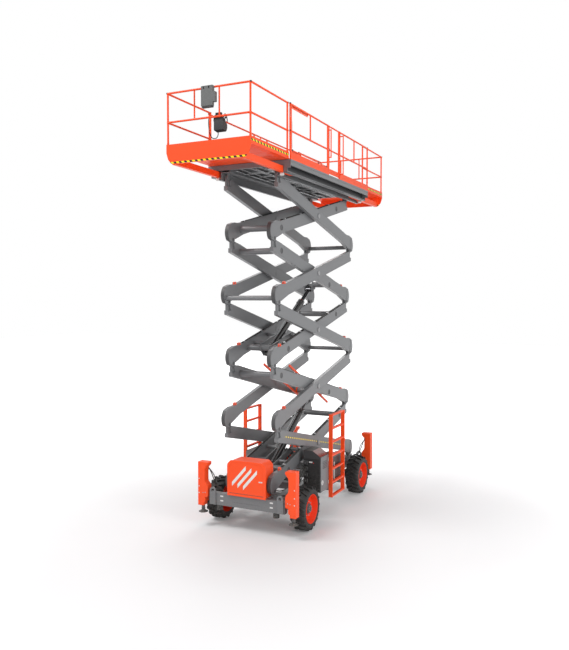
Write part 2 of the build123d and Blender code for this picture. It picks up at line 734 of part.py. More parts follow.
with BuildPart() as platform_frame:
    for side in (-1, 1):
        # Track beam: a channel whose upper flange the top rollers bear on.
        inner_x, outer_x = track_beam_x
        block(mirrored(track_beam_x, side), deck_y, (track_top_z, track_top_z + track_web))
        block(mirrored((outer_x - track_web, outer_x), side), deck_y, (track_bottom_z, cross_member_z[1]))
        block(mirrored((outer_x - track_web, outer_x + 40), side), deck_y,
              (track_bottom_z, track_bottom_z + track_web))
        block(mirrored((inner_x, inner_x + track_web), side), deck_y, (track_top_z, cross_member_z[1]))
        # Fixed pivot ears of the top outer arms.
        for x in (outer_arm_x - 32, outer_arm_x + 32):
            block(mirrored((x - 9, x + 9), side), (-pivot_y - 45, -pivot_y + 45),
                  (platform_pivot_z, track_top_z + 5))
            disc((side * x, -pivot_y, platform_pivot_z), (1, 0, 0), 45, 18)
        bar((side * (outer_arm_x - 41), -pivot_y, platform_pivot_z),
            (side * (outer_arm_x + 41), -pivot_y, platform_pivot_z), pivot_pin_radius)
        # Side channel, open outwards, that hides the extensions' beams.
        web_x, flange_x = side_channel_x
        block(mirrored((web_x, web_x + side_channel_web), side), deck_y, side_channel_z)
        block(mirrored((web_x, flange_x), side), deck_y,
              (side_channel_z[0], side_channel_z[0] + side_channel_web))
        # Rollers that carry the extensions' beams at both ends of the frame.
        beam_middle_x = sum(extension_beam_x) / 2
        for end_y, inward in ((deck_y[0], 1), (deck_y[1], -1)):
            roller_y = end_y + inward * 40
            roller_z = extension_beam_z[0] - running_gap - 30
            disc((side * beam_middle_x, roller_y, roller_z), (1, 0, 0), 30, 60)
            bar((side * (outer_x - 5), roller_y, roller_z), (side * beam_middle_x, roller_y, roller_z), 14)
            block(mirrored((outer_x - track_web, outer_x + 8), side), (roller_y - 30, roller_y + 30),
                  (roller_z - 25, track_top_z))
    for index in range(cross_member_count):
        y = deck_y[0] + 25 + index * (deck_y[1] - deck_y[0] - 50) / (cross_member_count - 1)
        block((-side_channel_x[0] - 2, side_channel_x[0] + 2), (y - 25, y + 25), cross_member_z)
    block((-deck_half_width, deck_half_width), deck_y, (deck_floor_z - deck_thickness, deck_floor_z))
save(platform_frame, "platform_frame")

with BuildPart() as main_rails:
    for side in (-1, 1):
        x = side * rail_x
        stretches = ((deck_y[0], gate_y[0]), (gate_y[1], deck_y[1])) if side > 0 else (deck_y,)
        for start, end in stretches:
            block(mirrored((deck_half_width - toe_board_thickness, deck_half_width), side), (start, end),
                  (deck_floor_z, deck_floor_z + toe_board_height))
            for z in (top_rail_z - rail_radius, mid_rail_z):
                bar((x, start, z), (x, end, z), rail_radius)
            for y in (start + rail_radius, end - rail_radius):
                bar((x, y, deck_floor_z), (x, y, top_rail_z - rail_radius), rail_radius)
            bar((x, (start + end) / 2, mid_rail_z),
                (x, (start + end) / 2, top_rail_z - rail_radius), rail_radius - 3)
        if side < 0:
            for y in gate_y:
                bar((x, y, deck_floor_z), (x, y, top_rail_z - rail_radius), rail_radius)
    # Hinge blocks that the gate's rear stile turns on.
    for z in (7800, 8350):
        block((rail_x - 12, rail_x + 12),
              (gate_stiles[1] + gate_stile_radius + running_gap, gate_y[1] + rail_radius),
              (z, z + 60))
    # Grab handles beside the gate, standing out from its posts.
    for post_y, reach, low_z in ((gate_y[0] - rail_radius, 75, 7950), (gate_y[1] + rail_radius, 95, 7690)):
        for z in (low_z, 8550):
            bar((rail_x, post_y, z), (rail_x + reach, post_y, z), 13)
        bar((rail_x + reach, post_y, low_z - 13), (rail_x + reach, post_y, 8563), 13)
save(main_rails, "main_rails")

with BuildPart() as entry_gate:
    low, high = gate_stiles
    for z in (top_rail_z - rail_radius, mid_rail_z):
        bar((rail_x, low, z), (rail_x, high, z), rail_radius - 2)
    for y in (low, high):
        bar((rail_x, y, gate_low_z), (rail_x, y, top_rail_z - rail_radius), gate_stile_radius)
    block((rail_x - 3, rail_x + 3), (low, high), (gate_low_z, deck_floor_z + toe_board_height))
save(entry_gate, "entry_gate")

for name, (end_y, root_y) in extension_ends.items():
    outward = math.copysign(1, end_y)
    plate_end = end_y - outward * toe_board_thickness
    apron_back = end_y - outward * apron_depth
    toe_top_z = deck_floor_z + toe_board_height
    rail_end_at = end_y - outward * extension_rail_length
    half = extension_half_width
    with BuildPart() as extension_deck:
        # End board, with its lower corners cut back, and the floor behind it.
        board = ((-half, toe_top_z), (-half, deck_floor_z - 15), (-half + 40, 7430),
                 (-half + 110, apron_low_z),
                 (half - 110, apron_low_z), (half - 40, 7430), (half, deck_floor_z - 15), (half, toe_top_z))
        add_profile(board, sorted((end_y, plate_end)))
        block((-half, half), (end_y, root_y), extension_floor_z)
        for side in (-1, 1):
            block(mirrored((half - toe_board_thickness, half), side), (plate_end, rail_end_at),
                  (extension_floor_z[1] - 1, toe_top_z))
            block(mirrored(extension_beam_x, side), (plate_end, root_y), extension_beam_z)
            block(mirrored(extension_beam_x, side), (plate_end, apron_back),
                  (extension_beam_z[1] - 1, extension_floor_z[0] + 1))
        block((-extension_beam_x[0] - 5, extension_beam_x[0] + 5), (plate_end, apron_back),
              (apron_low_z, apron_low_z + 8))
    save(extension_deck, f"{name}_extension_deck")

    corner_y = end_y - outward * rail_radius
    extension_rail_x = half - rail_radius
    with BuildPart() as extension_rails:
        for z in (top_rail_z, mid_rail_z):
            bar((-extension_rail_x, corner_y, z), (extension_rail_x, corner_y, z), rail_radius)
            for side in (-1, 1):
                bar((side * extension_rail_x, corner_y, z),
                    (side * extension_rail_x, rail_end_at, z), rail_radius)
        for side in (-1, 1):
            foot_z = extension_floor_z[1]
            post_x = side * (extension_rail_x - toe_board_thickness - running_gap)
            for y in (corner_y - outward * (toe_board_thickness + running_gap),
                      rail_end_at + outward * rail_radius):
                bar((post_x, y, foot_z), (post_x, y, top_rail_z), rail_radius)
        for x in (-290, 245):
            bar((x, corner_y, mid_rail_z), (x, corner_y, top_rail_z), rail_radius - 4)
    save(extension_rails, f"{name}_extension_rails")

front_rail_y = extension_ends["front"][0] + rail_radius
with BuildPart() as control_console:
    block(console_x, (front_rail_y + rail_radius + running_gap, front_rail_y + console_depth), console_z)
save(control_console, "control_console")

with BuildPart() as document_box:
    block(document_box_x, (front_rail_y - document_box_depth, front_rail_y - rail_radius - running_gap),
          document_box_z)
save(document_box, "document_box")
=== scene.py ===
"""Looks of a rough-terrain scissor lift, built round its fixed frame.

Metres, +Z up, the hood end faces -Y and the machine's left side is +X.
"""

from __future__ import annotations

import json
import logging
import math
from dataclasses import dataclass, field, replace
from enum import Enum

import bmesh
import bpy
import numpy as np
from mathutils import Matrix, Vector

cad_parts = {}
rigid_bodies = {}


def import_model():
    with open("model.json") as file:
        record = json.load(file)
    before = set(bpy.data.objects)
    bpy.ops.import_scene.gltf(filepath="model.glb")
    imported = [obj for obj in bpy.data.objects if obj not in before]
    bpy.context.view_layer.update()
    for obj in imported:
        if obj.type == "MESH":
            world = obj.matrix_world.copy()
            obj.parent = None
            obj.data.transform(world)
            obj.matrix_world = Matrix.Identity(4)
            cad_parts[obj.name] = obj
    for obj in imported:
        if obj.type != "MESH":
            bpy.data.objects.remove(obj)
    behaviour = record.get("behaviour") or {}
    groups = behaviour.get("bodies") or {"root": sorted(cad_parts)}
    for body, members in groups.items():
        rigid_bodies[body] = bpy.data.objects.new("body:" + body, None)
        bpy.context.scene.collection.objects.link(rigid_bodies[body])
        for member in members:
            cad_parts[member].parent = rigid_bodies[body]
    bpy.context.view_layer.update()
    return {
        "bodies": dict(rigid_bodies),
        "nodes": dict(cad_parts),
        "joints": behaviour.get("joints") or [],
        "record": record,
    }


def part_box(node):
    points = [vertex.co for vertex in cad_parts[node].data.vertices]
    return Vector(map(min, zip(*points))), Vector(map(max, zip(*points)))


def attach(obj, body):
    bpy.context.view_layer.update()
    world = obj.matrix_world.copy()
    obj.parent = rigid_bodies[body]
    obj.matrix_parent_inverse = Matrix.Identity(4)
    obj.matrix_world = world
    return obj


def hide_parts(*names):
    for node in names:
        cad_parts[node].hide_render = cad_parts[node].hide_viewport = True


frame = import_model()

log = logging.getLogger("scissor_lift")

Vec = tuple[float, float, float] | np.ndarray
Span = tuple[float, float]
X_AXIS: Vec = (1.0, 0.0, 0.0)
Y_AXIS: Vec = (0.0, 1.0, 0.0)
Z_AXIS: Vec = (0.0, 0.0, 1.0)
FRONT = np.array([X_AXIS, Z_AXIS, (0.0, -1.0, 0.0)])
SIDEWAYS = np.array([Y_AXIS, Z_AXIS, X_AXIS])
SIDES = (-1, 1)
CORNERS = ("front_left", "front_right", "rear_left", "rear_right")
SHARP = math.radians(34)


# ---------------------------------------------------------------- shaders
class Net:
    """Short hand for adding, setting and joining the nodes of one tree."""

    def __init__(self, tree: bpy.types.NodeTree) -> None:
        """Keep the tree that nodes go into."""
        self.tree = tree

    def feed(self, target: bpy.types.NodeSocket, value: object) -> None:
        """Link a socket into an input, or set the input to a constant.

        Args:
            target: the input.
            value: an output socket or a constant.
        """
        if isinstance(value, bpy.types.NodeSocket):
            self.tree.links.new(value, target)
        else:
            target.default_value = value

    def fill(self, node: bpy.types.Node, *inputs: object, **values: object) -> bpy.types.Node:
        """Set a node's properties and feed its inputs.

        Args:
            node: the node.
            inputs: sockets or constants for its first inputs, in order.
            values: its properties, or sockets or constants by input name with spaces as underscores.

        Returns:
            The same node.
        """
        for name, value in values.items():
            if hasattr(node, name):
                setattr(node, name, value)
            else:
                self.feed(node.inputs[name.replace("_", " ")], value)
        for k, value in enumerate(inputs):
            self.feed(node.inputs[k], value)
        return node

    def add(self, kind: str, *inputs: object, **values: object) -> bpy.types.Node:
        """Add a node of a type, named without its ShaderNode prefix, and fill it."""
        return self.fill(self.tree.nodes.new(f"ShaderNode{kind}"), *inputs, **values)

    def math(self, operation: str, *inputs: object, clamp: bool = False) -> bpy.types.NodeSocket:
        """Result of a Math node, kept within 0 and 1 where asked."""
        return self.add("Math", *inputs, operation=operation, use_clamp=clamp).outputs[0]

    def share(self, value: object, low: float, high: float) -> bpy.types.NodeSocket:
        """How far a value is on its way from low to high, kept within 0 and 1."""
        return self.add("MapRange", value, low, high).outputs[0]

    def mix(self, factor: object, first: object, second: object) -> bpy.types.NodeSocket:
        """First colour turned towards the second by a factor."""
        return self.add("Mix", data_type="RGBA", Factor=factor, A=first, B=second).outputs["Result"]

    def place(self) -> bpy.types.NodeSocket:
        """The shaded point in the object's own coordinates, which are the machine's."""
        return self.add("TexCoord").outputs["Object"]


def new_group(name: str, inputs: dict[str, tuple[str, object]],
              outputs: dict[str, str]) -> tuple[Net, object, object]:
    """Start a shader node group with named sockets.

    Args:
        name: the group's name.
        inputs: socket name to its type and default value.
        outputs: socket name to its type.

    Returns:
        The group's net, the sockets that bring its inputs in and the sockets that take its outputs.
    """
    tree = bpy.data.node_groups.new(name, "ShaderNodeTree")
    for label, (kind, value) in inputs.items():
        socket = tree.interface.new_socket(label, in_out="INPUT", socket_type=f"NodeSocket{kind}")
        socket.default_value = value
    for label, kind in outputs.items():
        tree.interface.new_socket(label, in_out="OUTPUT", socket_type=f"NodeSocket{kind}")
    return Net(tree), tree.nodes.new("NodeGroupInput").outputs, tree.nodes.new("NodeGroupOutput").inputs


def weathering_group() -> bpy.types.NodeTree:
    """Slow drift of tone, fine speckle and dust that settles low down and on upward faces.

    Colour is the base times one plus a share of a slow noise, then turned towards the dust's colour by a
    mask that grows with how far the face looks up and falls off with height above the floor.

    Returns:
        The node group.
    """
    net, source, target = new_group(
        "weathering",
        {"Base": ("Color", (0.5, 0.5, 0.5, 1)), "Dust": ("Color", (0.42, 0.38, 0.33, 1)),
         "Amount": ("Float", 0.3), "Drift": ("Float", 0.06), "Roughness": ("Float", 0.4),
         "Grain": ("Float", 260.0)},
        {"Color": "Color", "Roughness": "Float", "Height": "Float"},
    )
    place = net.place()
    cloud = net.add("TexNoise", Vector=place, Scale=1.7, Detail=4.0, Roughness=0.6).outputs["Fac"]
    fine = net.add("TexNoise", Vector=place, Scale=38.0, Detail=3.0, Roughness=0.7).outputs["Fac"]
    peel = net.add("TexNoise", Vector=place, Scale=source["Grain"], Detail=1.0).outputs["Fac"]
    spread = net.math("MULTIPLY_ADD", net.math("SUBTRACT", cloud, 0.5), source["Drift"], 1.0)
    tone = net.add("VectorMath", source["Base"], operation="SCALE", Scale=spread).outputs[0]
    low_down = net.share(net.add("SeparateXYZ", place).outputs["Z"], 1.3, 0.1)
    normal = net.add("NewGeometry").outputs["Normal"]
    upward = net.share(net.add("SeparateXYZ", normal).outputs["Z"], 0.2, 1.0)
    settled = net.math("MULTIPLY_ADD", upward, 0.55, low_down)
    patchy = net.math("MULTIPLY", settled, net.share(fine, 0.38, 0.72))
    dusty = net.math("MULTIPLY", patchy, source["Amount"], clamp=True)
    net.feed(target["Color"], net.mix(dusty, tone, source["Dust"]))
    net.feed(target["Roughness"], net.math("MULTIPLY_ADD", dusty, 0.5, source["Roughness"], clamp=True))
    net.feed(target["Height"], peel)
    return net.tree


def stripe_group() -> bpy.types.NodeTree:
    """Slanted stripes of even width: 1 where the fraction of (place times Along) over Pitch passes a half.

    Returns:
        The node group, whose Mask is 1 on one colour and 0 on the other.
    """
    net, source, target = new_group(
        "stripes", {"Along": ("Vector", (0, 1, 0)), "Pitch": ("Float", 0.16)}, {"Mask": "Float"}
    )
    run = net.add("VectorMath", net.place(), source["Along"], operation="DOT_PRODUCT").outputs["Value"]
    fraction = net.math("FRACT", net.math("DIVIDE", run, source["Pitch"]))
    net.feed(target["Mask"], net.math("GREATER_THAN", fraction, 0.5))
    return net.tree


class Metalness(Enum):
    """Whether a finish is paint or bare metal."""

    PAINT = 0.0
    METAL = 1.0


@dataclass(frozen=True)
class Finish:
    """A plain finish: one colour with weathering, grain and gloss."""

    name: str
    colour: Vec
    roughness: float = 0.4
    metal: Metalness = Metalness.PAINT
    dust: float = 0.35
    drift: float = 0.08
    grain: float = 240.0
    bump: float = 0.05
    coat: float = 0.0
    specular: float = 0.5

    def make(self, group: bpy.types.NodeTree) -> tuple[bpy.types.Material, Net, bpy.types.Node]:
        """Build the material.

        Args:
            group: the weathering node group.

        Returns:
            The material, its net and its weathering node.
        """
        material = bpy.data.materials.new(self.name)
        material.use_nodes = True
        net = Net(material.node_tree)
        wear = net.add("Group", node_tree=group, Base=(*self.colour, 1), Amount=self.dust, Drift=self.drift,
                       Roughness=self.roughness, Grain=self.grain)
        relief = net.add("Bump", Height=wear.outputs["Height"], Strength=self.bump, Distance=0.002)
        net.fill(net.tree.nodes["Principled BSDF"], Base_Color=wear.outputs["Color"],
                 Roughness=wear.outputs["Roughness"], Normal=relief.outputs[0], Metallic=self.metal.value,
                 Coat_Weight=self.coat, Coat_Roughness=0.12, Specular_IOR_Level=self.specular)
        return material, net, wear


ORANGE: Vec = (1.0, 0.084, 0.012)
GREY: Vec = (0.158, 0.161, 0.166)


@dataclass
class Palette:
    """All the finishes of the machine, made once."""

    end_band: Span = (7.352, 7.386)
    side_band: Span = (7.634, 7.672)
    board_skin: float = 0.002
    weathering: bpy.types.NodeTree = field(default_factory=weathering_group)
    stripes: bpy.types.NodeTree = field(default_factory=stripe_group)
    made: dict[str, bpy.types.Material] = field(default_factory=dict)

    def __post_init__(self) -> None:
        """Make every plain finish and the striped ones."""
        metal = Metalness.METAL
        plain = (
            Finish("orange_paint", ORANGE, roughness=0.46, dust=0.08, coat=0.06, specular=0.3),
            Finish("grey_paint", GREY, roughness=0.42, dust=0.18, coat=0.15),
            Finish("end_grey", (0.060, 0.060, 0.062), roughness=0.5, dust=0.2),
            Finish("pin_grey", (0.310, 0.312, 0.315), roughness=0.42, dust=0.1),
            Finish("rim_orange", (0.84, 0.036, 0.003), roughness=0.6, dust=0.06, specular=0.2),
            Finish("cover_red", (0.150, 0.030, 0.024), roughness=0.16, dust=0.04, coat=0.5, bump=0.01),
            Finish("dark_paint", (0.035, 0.036, 0.038), roughness=0.45, dust=0.4),
            Finish("dark_gloss", (0.020, 0.018, 0.018), roughness=0.16, dust=0.12, coat=0.5, bump=0.01),
            Finish("black_plastic", (0.014, 0.014, 0.015), roughness=0.5, dust=0.3, bump=0.2, grain=420.0),
            Finish("grey_plastic", (0.112, 0.116, 0.114), roughness=0.5, bump=0.15, grain=380.0),
            Finish("tyre_rubber", (0.0085, 0.0085, 0.009), roughness=0.62, dust=0.10, bump=0.3, grain=160.0),
            Finish("hose_rubber", (0.012, 0.012, 0.012), roughness=0.6, dust=0.4),
            Finish("bare_steel", (0.50, 0.50, 0.49), roughness=0.36, metal=metal, dust=0.3),
            Finish("dark_rod", (0.10, 0.10, 0.105), roughness=0.16, metal=metal, dust=0.08, bump=0.01),
            Finish("pale_zinc", (0.46, 0.47, 0.48), roughness=0.38, metal=metal, dust=0.2),
            Finish("white_paint", (0.80, 0.79, 0.77), roughness=0.4, dust=0.15),
            Finish("white_plastic", (0.72, 0.71, 0.69), roughness=0.4, dust=0.25),
            Finish("red_plastic", (0.62, 0.02, 0.015), roughness=0.35),
            Finish("yellow_plastic", (0.85, 0.55, 0.02), roughness=0.4),
        )
        for finish in plain:
            self.made[finish.name] = finish.make(self.weathering)[0]
        for special in (self.dash_tape(), self.striped_orange(plain[0]), self.floor_plate()):
            self.made[special.name] = special

    def pick(self, *names: str) -> list[bpy.types.Material]:
        """The materials of those names."""
        return [self.made[name] for name in names]

    def dash_tape(self) -> bpy.types.Material:
        """Grey ground with short yellow dashes under the shared weathering.

        Returns:
            The finished material.
        """
        ground = Finish("dash_tape", GREY, roughness=0.45, dust=0.2)
        material, net, wear = ground.make(self.weathering)
        dashes = net.add("Group", node_tree=self.stripes, Along=(0.0, 1.0, 0.25), Pitch=0.10)
        net.feed(wear.inputs["Base"], net.mix(dashes.outputs["Mask"], (*GREY, 1), (0.95, 0.72, 0.02, 1)))
        return material

    def striped_orange(self, orange: Finish) -> bpy.types.Material:
        """Orange paint with a yellow and black band along the end boards and the side boards.

        The band's mask is 1 where the point lies on a board's outer face and between the band's heights:
        low on the end boards, half way up on the side boards.

        Args:
            orange: the plain orange finish under the bands.

        Returns:
            The finished material.
        """
        material, net, wear = replace(orange, name="striped_orange").make(self.weathering)
        bands = net.add("Group", node_tree=self.stripes, Along=(1.0, 1.0, 0.8), Pitch=0.118)
        hazard = net.mix(bands.outputs["Mask"], (0.012, 0.012, 0.012, 1), (1.0, 0.76, 0.012, 1))
        place = net.add("SeparateXYZ", net.place()).outputs
        deck = Node.of("front_extension_deck")
        masks = []
        boards = ("Y", -deck.low[1], self.end_band), ("X", deck.high[0], self.side_band)
        for axis, reach, (low, high) in boards:
            on_face = net.math("GREATER_THAN", net.math("ABSOLUTE", place[axis]), reach - self.board_skin)
            over, under = net.math("GREATER_THAN", place["Z"], low), net.math("LESS_THAN", place["Z"], high)
            masks.append(net.math("MULTIPLY", on_face, net.math("MULTIPLY", over, under)))
        net.feed(wear.inputs["Base"], net.mix(net.math("MAXIMUM", *masks), (*ORANGE, 1), hazard))
        return material

    def floor_plate(self) -> bpy.types.Material:
        """Grey floor with raised studs in a slanted square pattern, worn bright on their crests.

        A stud's height is 1 near the middle of each square cell and falls to 0 towards its edges.

        Returns:
            The finished material.
        """
        ground = Finish("floor_plate", (0.16, 0.163, 0.168), roughness=0.5, dust=0.5, bump=0.0)
        material, net, wear = ground.make(self.weathering)
        slanted = net.add("Mapping", net.place(), Rotation=(0, 0, math.radians(45))).outputs[0]
        studs = net.add("TexVoronoi", distance="CHEBYCHEV", Vector=slanted, Scale=26.0, Randomness=0.0)
        crest = net.share(studs.outputs["Distance"], 0.34, 0.24)
        net.feed(wear.inputs["Base"], net.mix(crest, (0.15, 0.153, 0.158, 1), (0.30, 0.30, 0.30, 1)))
        relief = net.add("Bump", Strength=0.6, Distance=0.003, Height=crest)
        net.fill(net.tree.nodes["Principled BSDF"], Normal=relief.outputs[0])
        return material


# ---------------------------------------------------------------- surfaces
def unit(vector: np.ndarray) -> np.ndarray:
    """Vectors over their own lengths, along the last axis."""
    return vector / np.linalg.norm(vector, axis=-1, keepdims=True)


def frame_of(axis: Vec) -> np.ndarray:
    """Two directions square to an axis, and the axis: rows of a right-handed frame.

    Args:
        axis: the direction.

    Returns:
        A 3 by 3 array whose rows are the frame.
    """
    third = unit(np.array(axis, float))
    helper = np.array(Z_AXIS) if abs(third[2]) < 0.9 else np.array(X_AXIS)
    first = unit(np.cross(helper, third))
    return np.array([first, np.cross(third, first), third])


class Shell:
    """Collects surfaces, each a grid of points or a closed cap, into one mesh with several finishes."""

    def __init__(self) -> None:
        """Start with nothing."""
        self.points: list[np.ndarray] = []
        self.corners: list[np.ndarray] = []
        self.sizes: list[np.ndarray] = []
        self.marks: list[np.ndarray] = []
        self.count = 0

    def _faces(self, corners: np.ndarray, mark: int) -> None:
        """Keep rows of corner indices as faces of one size.

        Args:
            corners: one row of point indices for each face.
            mark: index of their finish.
        """
        self.corners.append(corners.ravel())
        self.sizes.append(np.full(len(corners), corners.shape[1]))
        self.marks.append(np.full(len(corners), mark))

    def grid(self, surface: np.ndarray, mark: int = 0, wrap: bool = True, loop: bool = False) -> None:
        """Add a surface of rings: point (i, j) is joined to (i + 1, j) and (i, j + 1).

        Args:
            surface: rings by points by 3.
            mark: index of its finish.
            wrap: whether each ring closes on itself; the first and last rings then get a face each.
            loop: whether the last ring is joined to the first instead.
        """
        rings, per = surface.shape[:2]
        i, j = np.meshgrid(np.arange(rings if loop else rings - 1), np.arange(per if wrap else per - 1),
                           indexing="ij")
        k, n = (j + 1) % per, (i + 1) % rings
        base = self.count
        quads = np.stack([i * per + j, i * per + k, n * per + k, n * per + j], axis=-1)
        self._faces(base + quads.reshape(-1, 4), mark)
        if wrap and not loop:
            ring = np.arange(per)
            self._faces(base + ring[::-1][None], mark)
            self._faces(base + (rings - 1) * per + ring[None], mark)
        self.points.append(surface.reshape(-1, 3))
        self.count += rings * per

    def prism(self, outline: np.ndarray, frame: np.ndarray, origin: Vec, depth: float,
              bevel: float, mark: int = 0) -> None:
        """Carry an outline straight along a frame's third axis, with bevelled ends.

        The outline is drawn in the frame's first two axes, turning from the first towards the second.
        Each bevel ring is the outline moved inwards by the mean of its neighbouring edges' normals.

        Args:
            outline: n by 2.
            frame: 3 by 3, rows are the axes.
            origin: where the outline's zero lies, at the middle of the depth.
            depth: full length along the third axis.
            bevel: size of the chamfer at both ends.
            mark: index of its finish.
        """
        outline = np.asarray(outline, float)
        edge = unit(np.roll(outline, -1, 0) - outline)
        normal = np.stack([edge[:, 1], -edge[:, 0]], -1)
        mean = normal + np.roll(normal, 1, 0)
        inward = -mean / np.maximum((mean**2).sum(-1, keepdims=True) / 2, 0.4)
        half = depth / 2
        steps = ((bevel, -half), (0, bevel - half), (0, half - bevel), (bevel, half))
        rings = np.stack([np.insert(outline + inset * inward, 2, z, axis=1) for inset, z in steps])
        self.grid(np.asarray(origin) + rings @ frame, mark)

    def box(self, low: Vec, high: Vec, bevel: float = 0.003, mark: int = 0) -> None:
        """Add a box with chamfered edges, square to the machine.

        Args:
            low: one corner.
            high: the corner opposite to it.
            bevel: size of the chamfer.
            mark: index of its finish.
        """
        low, high = np.minimum(low, high), np.maximum(low, high)
        self.block((low + high) / 2, (high - low) / 2, np.eye(3), bevel, mark)

    def block(self, centre: Vec, half: Vec, frame: np.ndarray, bevel: float, mark: int = 0) -> None:
        """Add a chamfered box turned by a frame: its outline carried along its longest side.

        Args:
            centre: its middle.
            half: half lengths along the frame's rows.
            frame: 3 by 3, rows are the axes.
            bevel: size of the chamfer.
            mark: index of its finish.
        """
        long = int(np.argmax(half))
        order = [(long + 1) % 3, (long + 2) % 3, long]
        a, b, c = np.asarray(half, float)[order]
        k = min(bevel, a * 0.9, b * 0.9)
        outline = np.array([(a, -b + k), (a, b - k), (a - k, b), (-a + k, b), (-a, b - k), (-a, -b + k),
                            (-a + k, -b), (a - k, -b)])
        self.prism(outline, np.asarray(frame)[order], centre, 2 * c, k, mark)

    def turned(self, profile: list[Span], origin: Vec, axis: Vec, sides: int = 32, mark: int = 0,
               loop: bool = False) -> None:
        """Revolve a profile: ring i is a circle of radius r_i at distance t_i along the axis.

        Args:
            profile: (radius, distance along the axis) pairs.
            origin: where distance is zero.
            axis: the direction of the axis.
            sides: points round each ring.
            mark: index of its finish.
            loop: whether the profile closes on itself, as in a ring.
        """
        frame = frame_of(axis)
        r, t = np.array(profile, float).T
        turn = np.linspace(0, 2 * math.pi, sides, endpoint=False)
        ring = np.cos(turn)[:, None] * frame[0] + np.sin(turn)[:, None] * frame[1]
        surface = np.asarray(origin) + r[:, None, None] * ring[None] + (t[:, None] * frame[2])[:, None]
        self.grid(surface, mark, loop=loop)

    def rod(self, start: Vec, end: Vec, radius: float, sides: int = 20, bevel: float = 0.002,
            mark: int = 0) -> None:
        """Add a round bar with chamfered ends between two points.

        Args:
            start: middle of its first end.
            end: middle of its second end.
            radius: its radius.
            sides: points round it.
            bevel: chamfer of the ends.
            mark: index of its finish.
        """
        path = np.subtract(end, start)
        length = float(np.linalg.norm(path))
        profile = [(radius - bevel, 0), (radius, bevel), (radius, length - bevel), (radius - bevel, length)]
        self.turned(profile, start, path, sides, mark)

    def tube(self, route: np.ndarray, radius: float, sides: int = 8, mark: int = 0) -> None:
        """Carry a circle along a route: its plane is square to the route's run at each point.

        Args:
            route: n by 3 points, never running straight along X.
            radius: the circle's radius.
            sides: points round it.
            mark: index of its finish.
        """
        run = unit(np.gradient(route, axis=0))
        first = unit(np.cross(X_AXIS, run))
        second = np.cross(run, first)
        turn = np.linspace(0, 2 * math.pi, sides, endpoint=False)[None, :, None]
        circle = np.cos(turn) * first[:, None] + np.sin(turn) * second[:, None]
        self.grid(route[:, None] + radius * circle, mark)

    def hex(self, centre: Vec, axis: Vec, across: float, height: float, mark: int = 0) -> None:
        """Add a hexagonal bolt head standing on a face.

        Args:
            centre: middle of its foot.
            axis: the way it stands out.
            across: its radius over the corners.
            height: how far it stands out.
            mark: index of its finish.
        """
        self.turned([(across, 0), (across, height * 0.8), (across * 0.8, height)], centre, axis, 6, mark)

    def sleeve(self, middle: Vec, axis: Vec, radius: float, half: float, wall: float = 0.004) -> None:
        """Add a short sleeve round a tube, with its ends chamfered down to the tube.

        Args:
            middle: its middle.
            axis: the tube's direction.
            radius: the tube's radius.
            half: half the sleeve's length.
            wall: how far it stands out.
        """
        outer = radius + wall
        profile = [(radius, -half), (outer, wall - half), (outer, half - wall), (radius, half)]
        self.turned(profile, middle, axis, 20)

    def place(self, name: str, body: str, finishes: list[bpy.types.Material], slot: str,
              replaces: tuple[str, ...] = (), sharp: float = SHARP) -> bpy.types.Object:
        """Make the mesh object, hang it on its body and hide the frame nodes that it stands for.

        Args:
            name: the object's name.
            body: the body that it moves with.
            finishes: its materials, by mark.
            slot: not used.
            replaces: frame nodes that it stands for.
            sharp: edges folded more than this stay crisp.

        Returns:
            The object.
        """
        points = np.concatenate(self.points).astype(np.float32)
        corners = np.concatenate(self.corners).astype(np.int32)
        sizes = np.concatenate(self.sizes).astype(np.int32)
        mesh = bpy.data.meshes.new(name)
        mesh.vertices.add(len(points))
        mesh.vertices.foreach_set("co", points.ravel())
        mesh.loops.add(len(corners))
        mesh.loops.foreach_set("vertex_index", corners)
        mesh.polygons.add(len(sizes))
        mesh.polygons.foreach_set("loop_start", np.concatenate([[0], np.cumsum(sizes)[:-1]]).astype(np.int32))
        mesh.polygons.foreach_set("material_index", np.concatenate(self.marks).astype(np.int32))
        mesh.polygons.foreach_set("use_smooth", np.ones(len(sizes), bool))
        mesh.update(calc_edges=True)
        mesh.validate()
        mesh.set_sharp_from_angle(angle=sharp)
        for finish in finishes:
            mesh.materials.append(finish)
        piece = bpy.data.objects.new(name, mesh)
        bpy.context.scene.collection.objects.link(piece)
        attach(piece, body)
        if replaces:
            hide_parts(*replaces)
        return piece


def anticlockwise(outline: np.ndarray) -> np.ndarray:
    """An outline in the order that makes its area positive.

    Twice the area is the sum of each point's first value times the next point's second, less the reverse.

    Args:
        outline: n by 2 points.

    Returns:
        The same points, reversed where needed.
    """
    after = np.roll(outline, -1, 0)
    area = np.sum(outline[:, 0] * after[:, 1] - outline[:, 1] * after[:, 0])
    return outline if area > 0 else outline[::-1]


def smooth_route(points: list[Vec] | np.ndarray, steps: int = 8) -> np.ndarray:
    """A route through points as Catmull-Rom cubics, each span in even steps.

    Args:
        points: places that it passes through.
        steps: points for each span.

    Returns:
        n by 3 points.
    """
    p = np.array(points, float)
    p = np.vstack([2 * p[0] - p[1], p, 2 * p[-1] - p[-2]])
    t = np.linspace(0, 1, steps, endpoint=False)[None, :, None]
    a, b, c, d = (p[k:len(p) - 3 + k, None] for k in range(4))
    spans = 0.5 * (2 * b + (c - a) * t + (2 * a - 5 * b + 4 * c - d) * t**2 + (3 * b - a - 3 * c + d) * t**3)
    return np.vstack([spans.reshape(-1, 3), p[-2]])


